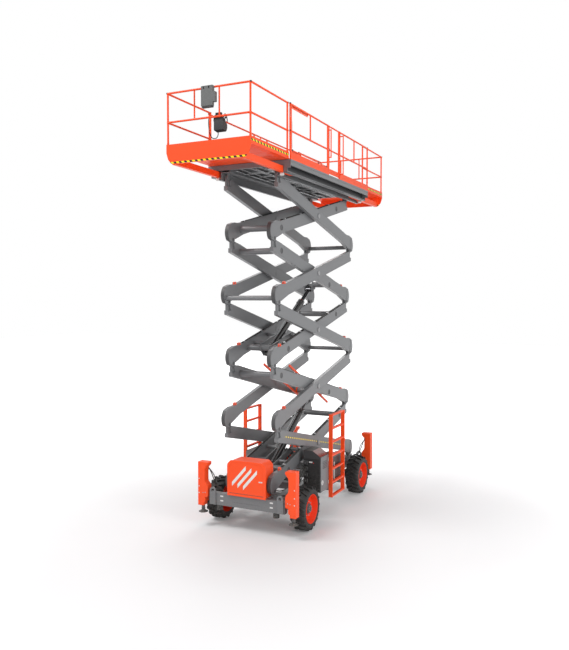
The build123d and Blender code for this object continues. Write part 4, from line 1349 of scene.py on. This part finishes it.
# ---------------------------------------------------------------- chassis, cabinets and ladders
@dataclass
class Chassis(Assembly):
    """Fittings of the frame: reflectors, bump stops, hoses, axle castings, side boxes and ladders."""

    body: str = "chassis"
    bumper_return: float = 0.028
    stop_height: float = 0.392
    tie_rod_half: float = 0.56
    cover_bolts: int = 10
    bolt_circle: float = 0.147
    roof_x: float = 0.85
    panel_top: float = 1.33
    rungs: int = 7
    rung_height: float = 0.036
    stile: float = 0.352

    def build(self) -> None:
        """Make each group of fittings."""
        self.bumpers()
        self.steering()
        self.plumbing()
        self.left_cabinet()
        self.left_door()
        self.tank_and_engine()
        self.ladders()
        log.info("chassis fittings")

    def bumpers(self) -> None:
        """White reflectors and bolts on both bumpers, and rubber stops under their ends."""
        shell = Shell()
        y = Node.of("rear_bumper").high[1] - self.bumper_return
        for end in SIDES:
            for side in SIDES:
                for z in (0.585, 0.680):
                    shell.box((side * 0.545, end * (y - 0.001), z),
                              (side * 0.615, end * (y + 0.002), z + 0.028), 0.0008)
                stop = [(0.060, 0.0), (0.066, 0.006), (0.066, 0.080), (0.058, 0.086), (0.058, 0.112)]
                shell.turned(stop, (side * 0.66, end * (y - 0.062), self.stop_height), Z_AXIS, 28, 1)
                for x in (0.735, 0.835):
                    shell.hex((side * x, end * (y + 0.0275), 0.545), (0, end, 0), 0.014, 0.0004, 2)
            shell.box((-0.33, end * (y - 0.001), 0.600), (0.33, end * (y + 0.0015), 0.604), 0.0006, 3)
            shell.box((-0.42, end * (y - 0.075), 0.750), (0.42, end * (y - 0.060), 0.756), 0.002, 3)
        finishes = self.palette.pick("white_plastic", "black_plastic", "pale_zinc", "dark_paint")
        shell.place("bumper_trim", self.body, finishes, "chassis_paint")

    def steering(self) -> None:
        """Tie rod with its two ball joints behind the front axle, and the rear axle's casing ribs."""
        shell = Shell()
        front, rear = Node.of("front_axle"), Node.of("rear_axle").middle
        y, z = front.high[1] + 0.045, front.middle[2]
        reach = self.tie_rod_half
        shell.rod((-reach, y, z), (reach, y, z), 0.020, 18)
        shell.rod((-0.25, y, z), (0.25, y, z), 0.036, 24, 0.006)
        for side in SIDES:
            shell.turned([(0.020, 0), (0.030, 0.008), (0.030, 0.036), (0.020, 0.044)],
                         (side * reach, y, z - 0.022), Z_AXIS, 20)
            shell.box((side * 0.22, y - 0.05, z - 0.03), (side * 0.26, y + 0.02, z + 0.03), 0.006)
        cover = [(0.150, -0.148), (0.158, -0.140), (0.158, -0.128), (0.140, -0.122)]
        shell.turned(cover + [(r, -t) for r, t in cover[::-1]], (0.0, rear[1], rear[2]), Y_AXIS, 40)
        for turn in np.linspace(0, 2 * math.pi, self.cover_bolts, endpoint=False):
            x, z = self.bolt_circle * math.cos(turn), self.bolt_circle * math.sin(turn)
            for end in SIDES:
                shell.hex((x, rear[1] + end * 0.140, rear[2] + z), (0, end, 0), 0.010, 0.014, 1)
        for side in SIDES:
            shell.turned([(0.100, -0.02), (0.112, -0.012), (0.112, 0.012), (0.100, 0.02)],
                         (side * 0.72, rear[1], rear[2]), X_AXIS, 32)
        finishes = self.palette.pick("dark_paint", "pale_zinc")
        shell.place("axle_details", self.body, finishes, "dark_grey_steel")

    def plumbing(self) -> None:
        """Hoses along the left rail, a valve block before the cabinet and lines over the frame."""
        shell = Shell()
        for k in range(5):
            x, z = 0.615 + 0.006 * (k % 2), 0.775 + 0.022 * k
            route = [(x, 1.02, z - 0.02), (x + 0.01, 0.80, z + 0.01), (x, 0.58, z),
                     (x + 0.004, 0.0, z + 0.006), (x, -0.40, z)]
            shell.tube(smooth_route(route, 6), 0.010)
        for k in range(6):
            x, y, z = 0.66 + 0.03 * (k % 3), -0.905 - 0.012 * (k // 3), 1.10 + 0.05 * (k % 2)
            route = [(x, y, z), (x + 0.01, y - 0.10, z + 0.03 - 0.05 * (k % 3)),
                     (x - 0.01, -1.10 - 0.03 * k, 0.98 - 0.03 * k), (0.665, -1.16 - 0.05 * k, 0.80),
                     (0.650, -1.20 - 0.06 * k, 0.70), (0.600, -1.22 - 0.07 * k, 0.645)]
            shell.tube(smooth_route(route, 7), 0.011)
        for z in (0.80, 0.93, 1.06, 1.19):
            shell.box((0.655, -0.905, z), (0.755, -0.872, z + 0.085), 0.006, 1)
            shell.turned([(0.018, 0), (0.018, 0.03), (0.012, 0.036), (0.012, 0.05)],
                         (0.705, -0.905, z + 0.04), (0, -1, 0), 14, 1)
        for y in (-0.15, 0.30, 0.70):
            shell.box((0.600, y - 0.012, 0.755), (0.640, y + 0.012, 0.885), 0.004, 1)
        for side in SIDES:
            for k in range(2):
                route = np.array([(0.36 - 0.03 * k, -1.84, 0.80), (0.40 - 0.03 * k, -1.70, 0.78),
                                  (0.42 - 0.02 * k, -1.45, 0.72), (0.43 - 0.02 * k, -0.8, 0.70),
                                  (0.43 - 0.02 * k, 0.2, 0.705)])
                shell.tube(smooth_route(route * (side, 1, 1), 7), 0.0095)
        finishes = self.palette.pick("hose_rubber", "dark_paint", "pale_zinc")
        shell.place("chassis_hoses", self.body, finishes, "black_plastic")

    def left_cabinet(self) -> None:
        """Sloping cover, front panel with its vents, and small parts of the left cabinet."""
        box, door = Node.of("left_cabinet"), Node.of("left_cabinet_door")
        shell = Shell()
        top_in = np.array([self.roof_x, box.middle[1], box.high[2]])
        top_out = np.array([door.low[0], box.middle[1], door.high[2] + 0.004])
        run = unit(top_out - top_in)
        lift = 0.0025 * np.array([-run[2], 0, run[0]])
        half = (float(np.linalg.norm(top_out - top_in)) / 2 - 0.008, box.size[1] / 2 - 0.006, 0.0022)
        basis = np.array([run, Y_AXIS, np.cross(run, Y_AXIS)])
        shell.block((top_in + top_out) / 2 + lift, half, basis, 0.0015, 1)
        front, left, right = box.low[1], box.low[0], door.low[0]
        shell.box((left + 0.02, front - 0.004, box.low[2] + 0.02),
                  (right - 0.02, front + 0.001, self.panel_top), 0.002)
        for z in 0.80 + 0.03 * np.arange(7):
            shell.box((left + 0.10, front - 0.010, z), (right - 0.10, front - 0.003, z + 0.012), 0.003)
        shell.box((0.78, front - 0.008, 1.235), (0.86, front - 0.002, 1.265), 0.002, 3)
        shell.box((0.875, front - 0.010, 1.225), (0.895, front - 0.002, 1.245), 0.003, 4)
        shell.turned([(0.016, 0), (0.016, 0.012), (0.010, 0.018), (0.001, 0.018)],
                     (0.74, front - 0.003, 1.12), (0, -1, 0), 16, 2)
        finishes = self.palette.pick("black_plastic", "cover_red", "pale_zinc", "white_plastic",
                                     "red_plastic")
        shell.place("left_cabinet_trim", self.body, finishes, "cabinet_paint")

    def left_door(self) -> None:
        """Round handle, vents and hinges of the left cabinet's door."""
        door = Node.of("left_cabinet_door")
        shell = Shell()
        x, near, far = door.high[0], door.low[1], door.high[1]
        handle = door.low[2] + 0.20
        shell.turned([(0.052, 0.0), (0.052, 0.004), (0.046, 0.006), (0.040, 0.003), (0.002, 0.003)],
                     (x, near + 0.085, handle), X_AXIS, 28)
        # Distance out from the door, place along Y, middle height, half length and radius of each bar.
        for across, y, z, half, radius in (
            (0.006, near + 0.085, handle, 0.035, 0.007), (0.003, far - 0.004, 0.75, 0.04, 0.006),
            (0.003, far - 0.004, 1.25, 0.04, 0.006),
        ):
            shell.rod((x + across, y, z - half), (x + across, y, z + half), radius, mark=1)
        for z in 1.10 + 0.035 * np.arange(5):
            shell.box((x - 0.001, near + 0.10, z), (x + 0.004, far - 0.08, z + 0.016), 0.002, 2)
        finishes = self.palette.pick("white_plastic", "pale_zinc", "dark_paint")
        shell.place("left_door_trim", "left_door", finishes, "cabinet_paint")

    def tank_and_engine(self) -> None:
        """Cap, straps and sight strip of the tank, vents, latches and exhaust on the right, rear hoses."""
        tank, engine = Node.of("fuel_tank"), Node.of("right_cabinet")
        shell = Shell()
        shell.turned([(0.048, -0.002), (0.048, 0.014), (0.042, 0.020), (0.040, 0.034), (0.034, 0.038),
                      (0.002, 0.038)], (0.90, tank.high[1] - 0.10, tank.high[2]), Z_AXIS, 28)
        for y in (tank.low[1] + 0.12, tank.high[1] - 0.16):
            shell.box((tank.low[0] - 0.004, y, tank.low[2] + 0.02),
                      (tank.high[0] + 0.004, y + 0.045, tank.high[2] + 0.003), 0.003, 1)
        shell.box((tank.high[0] - 0.001, -0.02, 0.70), (tank.high[0] + 0.003, 0.02, 1.10), 0.0015, 2)
        face = engine.low[0]
        for z in 0.80 + 0.045 * np.arange(6):
            for y in (engine.low[1] + 0.12, engine.middle[1] + 0.08):
                shell.box((face - 0.006, y, z), (face + 0.001, y + 0.44, z + 0.022), 0.003)
        for y in (engine.low[1] + 0.2, engine.high[1] - 0.2):
            shell.box((face - 0.010, y - 0.025, 1.155), (face + 0.001, y + 0.025, 1.215), 0.004, 3)
        outlet = np.array([face + 0.10, engine.high[1], 0.72])
        shell.rod(outlet - (0, 0.002, 0), outlet + (0, 0.10, 0), 0.032, 24, 0.003, 3)
        for side in SIDES:
            for k in range(4):
                route = np.array([(0.66, 0.86 + 0.02 * k, 0.86 + 0.05 * k),
                                  (0.68, 1.00 + 0.02 * k, 0.93 + 0.04 * k),
                                  (0.655, 1.10, 0.86 - 0.02 * k), (0.60, 1.20, 0.74)])
                shell.tube(smooth_route(route * (side, 1, 1), 7), 0.011, 8, 4)
        finishes = self.palette.pick("black_plastic", "dark_paint", "white_plastic", "pale_zinc",
                                     "hose_rubber")
        shell.place("tank_and_engine_trim", self.body, finishes, "cabinet_paint")

    def ladders(self) -> None:
        """Grip teeth on the rungs below the top one, and bolts at the brackets."""
        box = Node.of("ladders")
        shell = Shell()
        pitch = (box.size[2] - self.rung_height) / (self.rungs - 1)
        for side in SIDES:
            for z in box.low[2] + self.rung_height + pitch * np.arange(self.rungs - 1):
                for y in np.arange(-0.30, 0.31, 0.06):
                    shell.box((side * 1.058, y - 0.016, z - 0.002), (side * 1.112, y + 0.016, z + 0.003),
                              0.0012)
            for end in SIDES:
                for z in (0.56, 0.60):
                    shell.hex((side * 1.1302, end * (self.stile + 0.014), z), (side, 0, 0), 0.010, 0.006, 1)
        shell.place("ladder_grips", self.body, self.palette.pick("orange_paint", "pale_zinc"), "ladder_paint")


# ---------------------------------------------------------------- lift cylinders
@dataclass
class Cylinder(Assembly):
    """Gland, port blocks, bands and lines of one lift cylinder."""

    level: str
    length: float = 2.060
    radius: float = 0.075

    def build(self) -> None:
        """Make the fittings that ride on the barrel."""
        foot = np.array(joint(f"{self.level}_cylinder_pin")["pos_m"])
        run = unit(np.array(joint(f"{self.level}_cylinder_stroke")["axis"], float))
        run = -run if run[2] < 0 else run
        side = np.cross(X_AXIS, run)
        shell = Shell()
        r, end = self.radius, self.length
        for profile in (
            [(r + 0.0005, end - 0.13), (r + 0.010, end - 0.125), (r + 0.010, end - 0.01), (r + 0.004, end),
             (0.052, end + 0.002), (0.050, end + 0.012), (0.046, end + 0.014)],
            [(r + 0.0005, 0.09), (r + 0.006, 0.095), (r + 0.006, 0.15), (r + 0.0005, 0.155)],
            [(r + 0.0005, 0.16), (r + 0.006, 0.166), (r + 0.006, end - 0.146), (r + 0.0005, end - 0.14)],
            *([(r + 0.006, t), (r + 0.009, t + 0.002), (r + 0.009, t + 0.038), (r + 0.006, t + 0.04)]
              for t in (0.80, 1.40)),
        ):
            shell.turned(profile, foot, run, 36)
        for reach in (0.20, end - 0.18):
            middle = foot + reach * run + side * (r + 0.014)
            shell.block(middle, (0.026, 0.020, 0.036), np.array([X_AXIS, side, run]), 0.005)
            shell.hex(middle + side * 0.018, side, 0.013, 0.012, 1)
        t = np.linspace(0, 1, 24)[:, None]
        lift = np.sin(math.pi * np.clip(t * 6, 0, 0.5)) * np.sin(math.pi * np.clip((1 - t) * 6, 0, 0.5))
        line = foot + (0.22 + (end - 0.42) * t) * run + (r + 0.010 + 0.008 * lift) * side
        for x in (-0.012, 0.012):
            shell.tube(line + (x, 0, 0), 0.006, 8, 1)
        finishes = self.palette.pick("dark_gloss", "pale_zinc")
        shell.place(f"{self.level}_cylinder_fittings", f"{self.level}_barrel", finishes, "cylinder_paint")
        log.info("%s cylinder", self.level)


# ---------------------------------------------------------------- platform
@dataclass
class Platform(Assembly):
    """Fittings of the main deck: tread sheet, runs and rollers below it, rail joints and the gate's latch."""

    body: str = "platform"
    rail_radius: float = 0.019
    rail_face: float = 0.955
    web: float = 0.798
    edge: float = 0.880
    face: float = 0.950
    step_height: float = 7.400
    lip_top: float = 7.529
    roller_x: float = 0.740
    roller_height: float = 7.2997
    gate_posts: Span = (-0.190, 0.465)
    sleeve_height: float = 7.790
    post_top: float = 8.651

    def build(self) -> None:
        """Make each group of fittings."""
        self.deck = Node.of("platform_frame")
        self.near, self.far, self.floor = self.deck.low[1], self.deck.high[1], self.deck.high[2]
        self.rail_x = self.rail_face - self.rail_radius
        self.tread()
        self.underside()
        self.rail_trim()
        self.gate()
        log.info("platform")

    def tread(self) -> None:
        """A thin patterned sheet over the floor."""
        shell = Shell()
        half = self.deck.high[0] - 0.008
        shell.box((-half, self.near + 0.004, self.floor - 0.001),
                  (half, self.far - 0.004, self.floor + 0.0018), 0.001)
        shell.place("floor_tread", self.body, self.palette.pick("floor_plate"), "deck_paint")

    def underside(self) -> None:
        """Cable runs, pipes and their saddles under the floor, white rollers and the side channels' lips."""
        shell = Shell()
        near, far = self.near, self.far
        for x in (-0.22, 0.0, 0.24):
            shell.box((x - 0.020, near + 0.03, 7.4675), (x + 0.020, far - 0.03, 7.4740))
        t = np.linspace(0, 1, 30)
        for k, x in enumerate((-0.345, -0.315, 0.12, 0.15, 0.345)):
            route = (x + 0.004 * np.sin(11 * t + k), near + 0.10 + (far - near - 0.20) * t,
                     7.452 + 0.004 * np.sin(23 * t + 2 * k))
            shell.tube(np.stack(route, -1), 0.010, 8, 1 if k % 2 else 2)
        for y in np.linspace(near + 0.5, far - 0.5, 5):
            shell.box((-0.37, y - 0.01, 7.4385), (0.37, y + 0.01, 7.4440), 0.002, 2)
        roller = [(0.010, -0.0385), (0.0285, -0.0375), (0.0315, -0.034)]
        roller += [(r, -t) for r, t in roller[::-1]]
        web, edge, face, step = self.web, self.edge, self.face, self.step_height
        foot = self.deck.low[2] + 0.060
        for side in SIDES:
            for y in (near + 0.040, far - 0.040):
                shell.turned(roller, (side * self.roller_x, y, self.roller_height), X_AXIS, 28, 3)
                spot = (side * (self.roller_x + 0.0385), y, self.roller_height)
                shell.hex(spot, (side, 0, 0), 0.016, 0.010, 2)
            for y in (near + 0.004, far - 0.004):
                shell.box((side * web, y - 0.004, foot + 0.001), (side * edge, y + 0.004, step), 0.002)
                shell.box((side * web, y - 0.004, step), (side * face, y + 0.004, self.lip_top), 0.002)
            # Across from and to, distance from the deck's ends, bottom, top, bevel and finish of each lip,
            # and of the dark sheet on the web, which is painted shade of the recess under the floor's edge.
            for x0, x1, gap, z0, z1, bevel, mark in (
                (edge - 0.006, edge, 0.003, foot, foot + 0.026, 0.002, 0),
                (face - 0.006, face, 0.006, 7.456, self.lip_top + 0.0005, 0.002, 0),
                (face - 0.040, face - 0.002, 0.006, 7.452, 7.458, 0.002, 0),
                # Near-black sheet on the web: painted shade of the recess under the floor's overhang.
                (web + 0.0005, web + 0.004, 0.01, 7.360, 7.525, 0.001, 4),
            ):
                shell.box((side * x0, near + gap, z0), (side * x1, far - gap, z1), bevel, mark)
        finishes = self.palette.pick("grey_paint", "hose_rubber", "pale_zinc", "white_plastic", "dark_paint")
        shell.place("deck_underside", self.body, finishes, "deck_paint")

    def rail_trim(self) -> None:
        """Sleeves and feet of the posts, black caps, the serrated bracket, a hanging lanyard and its rod."""
        shell = Shell()
        r, x, near, far, floor = self.rail_radius, self.rail_x, self.near, self.far, self.floor
        first, second = self.gate_posts
        posts = {1: (near + r, first - r, second + r, far - r), -1: (near + r, first, second, far - r)}
        for side, places in posts.items():
            for y in places:
                shell.box((side * (x - 0.021), max(y - 0.048, near), floor + 0.001),
                          (side * (x + 0.012), min(y + 0.048, far), floor + 0.009))
                shell.sleeve((side * x, y, self.sleeve_height), Z_AXIS, r, 0.020)
            for y in (near + 0.006, far - 0.006):
                shell.turned([(r + 0.0015, 0.0), (r + 0.0015, 0.014), (r - 0.004, 0.019), (0.002, 0.019)],
                             (side * x, y, self.post_top + r - 0.013), Z_AXIS, 20, 1)
        for y in (near + 0.025, first - r, second + r):
            shell.box((x - 0.020, y - 0.025, floor + 0.150), (x + r, y + 0.025, 8.640), 0.006)
        start, pitch, teeth = near + 0.06, 0.062, 13
        for y in start + pitch * np.arange(teeth):
            shell.box((x - 0.006, y, 8.574), (x + 0.006, y + 0.036, 8.634), 0.002)
        shell.box((x - 0.006, start - 0.01, 8.606), (x + 0.006, start + teeth * pitch, 8.636), 0.002)
        ends = (x, near + 0.10, floor + 0.19), (x, -0.30, floor + 0.165)
        shell.rod(*ends, 0.010)
        for spot in (*ends, (x, -0.75, floor + 0.172)):
            shell.block(spot, (0.013, 0.022, 0.018), np.eye(3), 0.004, 1)
            shell.box((x - 0.004, spot[1] - 0.006, floor), (x + 0.004, spot[1] + 0.006, spot[2]), 0.002)
        for y in (near + 0.05, near + 0.10):
            route = [(x, y - 0.06, 8.60), (x + 0.004, y - 0.055, 8.42), (x, y, 8.28),
                     (x - 0.004, y - 0.004, 8.02), (x, y, 7.80)]
            shell.tube(smooth_route(route, 6), 0.004, 6, 2)
        finishes = self.palette.pick("orange_paint", "black_plastic", "pale_zinc")
        shell.place("rail_trim", self.body, finishes, "rail_paint")

    def gate(self) -> None:
        """Latch box with its pin and knob, and kick plate bolts that swing with the gate."""
        box = Node.of("entry_gate")
        shell = Shell()
        x, y = self.rail_x, box.low[1] + 0.030
        shell.box((x - 0.016, y - 0.026, 8.105), (x + 0.016, y + 0.032, 8.160), 0.004, 1)
        shell.rod((x, y, 8.155), (x, y, 8.195), 0.008, mark=2)
        shell.turned([(0.012, 0), (0.016, 0.006), (0.016, 0.016), (0.010, 0.022), (0.001, 0.022)],
                     (x, y, 8.190), Z_AXIS, 18, 3)
        for bolt in np.linspace(box.low[1] + 0.07, box.high[1] - 0.07, 4):
            shell.hex((x + 0.003, bolt, 7.66), X_AXIS, 0.008, 0.005, 2)
        finishes = self.palette.pick("orange_paint", "black_plastic", "pale_zinc", "red_plastic")
        shell.place("gate_trim", "gate", finishes, "rail_paint")


@dataclass
class Extension(Assembly):
    """Fittings of one sliding deck extension: tread, straps, a return plate, rail caps and sleeves."""

    end: str
    rail_radius: float = 0.019
    rail_run: float = 1.560
    post_sleeve_height: float = 7.735
    rail_sleeve_height: float = 8.130
    under_floor: Span = (7.5728, 7.5768)

    def build(self) -> None:
        """Make the fittings."""
        self.deck = Node.of(f"{self.end}_extension_deck")
        self.rails = Node.of(f"{self.end}_extension_rails")
        ends = self.deck.low[1], self.deck.high[1]
        self.out = -1 if self.end == "front" else 1
        self.tip, self.root = ends if self.out < 0 else ends[::-1]
        shell = Shell()
        self.tread(shell)
        self.ribs(shell)
        self.rail_trim(shell)
        finishes = self.palette.pick("orange_paint", "floor_plate", "black_plastic", "pale_zinc",
                                     "white_plastic")
        shell.place(f"{self.end}_extension_trim", f"{self.end}_extension", finishes, "extension_paint")
        log.info("%s extension", self.end)

    def along(self, distance: float) -> float:
        """Place a distance inwards from the outer end."""
        return self.tip - self.out * distance

    def tread(self, shell: Shell) -> None:
        """A patterned sheet on the floor."""
        half = self.deck.high[0] - 0.008
        shell.box((-half, self.along(0.008), 7.5895), (half, self.root, 7.5915), 0.0008, 1)

    def ribs(self, shell: Shell) -> None:
        """Flat straps across the floor's underside and a return plate behind the end board.

        Both stay clear of the main deck when the extension is pushed in, so nothing hangs below the floor
        further back than the return plate.

        Args:
            shell: where the surfaces go.
        """
        low, high = self.under_floor
        for distance in (0.42, 0.80, 1.18):
            shell.box((-0.695, self.along(distance), low), (0.695, self.along(distance + 0.040), high), 0.001)
        for side in SIDES:
            shell.box((side * 0.784, self.along(0.060), low), (side * 0.800, self.root, high), 0.001)
        shell.box((-0.775, self.along(0.046), 7.357), (0.775, self.along(0.052), high), 0.001)

    def rail_trim(self, shell: Shell) -> None:
        """Black corner caps, sleeves and foot plates of the posts.

        Args:
            shell: where the surfaces go.
        """
        r = self.rail_radius
        x = self.rails.high[0] - r
        cap = [(r - 0.004, -0.021), (r + 0.003, -0.017), (r + 0.003, 0.006), (r - 0.004, 0.010),
               (0.003, 0.010)]
        # Along Y for each post: its cap, its sleeve and its foot plate's two ends.
        back = self.along(self.rail_run - r)
        posts = ((self.along(r + 0.003), self.along(r + 0.0063), self.along(0.008), self.along(0.074)),
                 (back, back, back - 0.034, back + 0.034))
        for side in SIDES:
            for top, sleeve, one, other in posts:
                shell.turned(cap, (side * x, top, self.rails.high[2] - 0.0105), Z_AXIS, 20, 2)
                shell.box((side * (x - 0.058), one, 7.591), (side * (x - 0.004), other, 7.598))
                shell.sleeve((side * (x - 0.0063), sleeve, self.post_sleeve_height), Z_AXIS, r, 0.016)
            middle = (side * (x - 0.030), self.along(r + 0.004), self.rail_sleeve_height)
            shell.sleeve(middle, X_AXIS, r, 0.014)


@dataclass
class Console(Assembly):
    """The upper control box with its guard, stick, switches and cable, and the document box beside it."""

    body: str = "front_extension"

    def build(self) -> None:
        """Make both boxes."""
        self.control_box()
        self.document_box()
        log.info("console")

    def control_box(self) -> None:
        """A wedge-shaped case under a curved guard, in the space of its block in the frame."""
        box = Node.of("control_console")
        low, (width, depth, _) = box.low, box.size
        middle = low + (width / 2, 0, 0)
        shell = Shell()
        front = depth * 0.98
        case = rounded([(0, 0.02), (depth * 0.75, 0.0), (front, 0.07), (front, 0.14), (0.02, 0.26),
                        (0, 0.26)], [0.010, 0.020, 0.020, 0.020, 0.010, 0.004])
        shell.prism(case, SIDEWAYS, middle, width - 0.03, 0.006)
        hook = rounded([(0, 0.24), (0.05, 0.24), (0.05, 0.335), (0, 0.335)], [0.004, 0.010, 0.012, 0.004])
        shell.prism(hook, SIDEWAYS, middle, 0.12, 0.003, 1)
        t = np.linspace(0, math.pi, 20)
        for x in (0.012, width - 0.012):
            route = (np.full(20, x), 0.085 + 0.070 * np.cos(t), 0.185 + 0.130 * np.sin(t))
            shell.tube(low + np.stack(route, -1), 0.009, 10, 1)
        slope = unit(np.array([0, front - 0.02, 0.14 - 0.26]))
        out = np.cross(X_AXIS, slope)
        top = middle + (0, depth * 0.50, 0.2)
        boot = [(0.030, 0.0), (0.030, 0.008), (0.022, 0.016), (0.024, 0.022), (0.014, 0.032), (0.010, 0.036),
                (0.010, 0.070), (0.017, 0.078), (0.018, 0.096), (0.010, 0.106), (0.001, 0.107)]
        shell.turned(boot, top + (0.070, 0, 0) - 0.002 * out, out, 24, 1)
        for k, mark in enumerate((2, 3, 4, 5, 5, 4)):
            spot = top + (-0.105 + 0.042 * (k % 3), 0, 0) + (0.025 if k < 3 else -0.028) * slope - 0.001 * out
            shell.turned([(0.0125, 0), (0.0125, 0.008), (0.0100, 0.011), (0.001, 0.011)], spot, out, 18, mark)
        cable = [(0.06, 0.09, 0.005), (0.045, 0.10, -0.06), (0.01, 0.09, -0.105), (-0.05, 0.06, -0.10),
                 (-0.085, 0.03, -0.02), (-0.09, 0.0, 0.12), (-0.085, -0.005, 0.24)]
        shell.tube(smooth_route(low + np.array(cable)), 0.008, 8, 1)
        finishes = self.palette.pick("black_plastic", "hose_rubber", "red_plastic", "yellow_plastic",
                                     "white_plastic", "pale_zinc")
        shell.place("control_box", self.body, finishes, "black_plastic", ("control_console",))

    def document_box(self) -> None:
        """A flat moulded case with a lid, a dark lower lip and straps over the rail."""
        box = Node.of("document_box")
        low, (w, depth, h) = box.low, box.size
        middle = low + (0, depth / 2, 0)
        shell = Shell()
        case = rounded([(0, 0.03), (w * 0.80, 0.03), (w * 0.80, 0.09), (w, 0.09), (w, h - 0.12),
                        (w * 0.82, h - 0.12), (w * 0.82, h), (0, h)],
                       [0.012, 0.006, 0.003, 0.010, 0.012, 0.004, 0.014, 0.014])
        shell.prism(case, FRONT, middle, depth, 0.005)
        lip = rounded([(0.012, 0.0), (w * 0.78, 0.0), (w * 0.78, 0.040), (0.012, 0.040)], [0.006] * 4)
        shell.prism(lip, FRONT, middle, depth - 0.012, 0.003, 1)
        for x in (0.06, 0.17):
            shell.box(low + (x - 0.012, 0, h - 0.055), low + (x + 0.012, 0.003, h - 0.010), 0.001, 1)
        finishes = self.palette.pick("grey_plastic", "black_plastic")
        shell.place("document_case", self.body, finishes, "grey_plastic", ("document_box",))


# ---------------------------------------------------------------- finishing
# Starts of the frame nodes' names that take each finish.
NODE_FINISH: dict[str, tuple[str, ...]] = {
    "grey_paint": ("inner_arm", "outer_arm", "left_chassis_rail", "right_chassis_rail", "cross_members",
                   "front_bumper", "rear_bumper", "left_cabinet_door", "right_cabinet", "platform_frame"),
    "orange_paint": ("outrigger_housings", "ladders", "front_hood", "main_rails", "entry_gate",
                     "front_extension_rails", "rear_extension_rails", "rim", "maintenance_props"),
    "striped_orange": ("front_extension_deck", "rear_extension_deck"),
    "dark_paint": ("front_axle", "rear_axle", "left_cabinet", "fuel_tank", "right_cabinet_lid",
                   "engine_block", "steering_knuckle"),
    "dark_gloss": ("lower_cylinder_barrel", "upper_cylinder_barrel"),
    "dark_rod": ("lower_cylinder_rod", "upper_cylinder_rod"),
    "bare_steel": ("outrigger_leg",),
    "black_plastic": ("control_console",),
    "grey_plastic": ("document_box",),
    "tyre_rubber": ("tyre",),
}


def dress_frame(palette: Palette) -> None:
    """Give each node of the frame its finish, by the longest name that it starts with.

    Args:
        palette: all the finishes.
    """
    finishes = {start: finish for finish, starts in NODE_FINISH.items() for start in starts}
    for name, node in frame["nodes"].items():
        longest = max((start for start in finishes if name.startswith(start)), key=len)
        for slot in node.material_slots:
            slot.material = palette.made[finishes[longest]]
    log.info("frame nodes: %d", len(frame["nodes"]))


def main() -> None:
    """Build every sub-assembly in order."""
    palette = Palette()
    dress_frame(palette)
    for corner in CORNERS:
        Wheel(palette, corner).build()
    Hood(palette).build()
    Outriggers(palette).build()
    Chassis(palette).build()
    for level in range(1, 6):
        for pair in Pair:
            ArmPair(palette, level, pair).build()
    for level in ("lower", "upper"):
        Cylinder(palette, level).build()
    Platform(palette).build()
    for end in ("front", "rear"):
        Extension(palette, end).build()
    Console(palette).build()
    Studio().build()


if __name__ == "__main__":
    logging.basicConfig(level=logging.INFO, format="%(message)s")
    main()
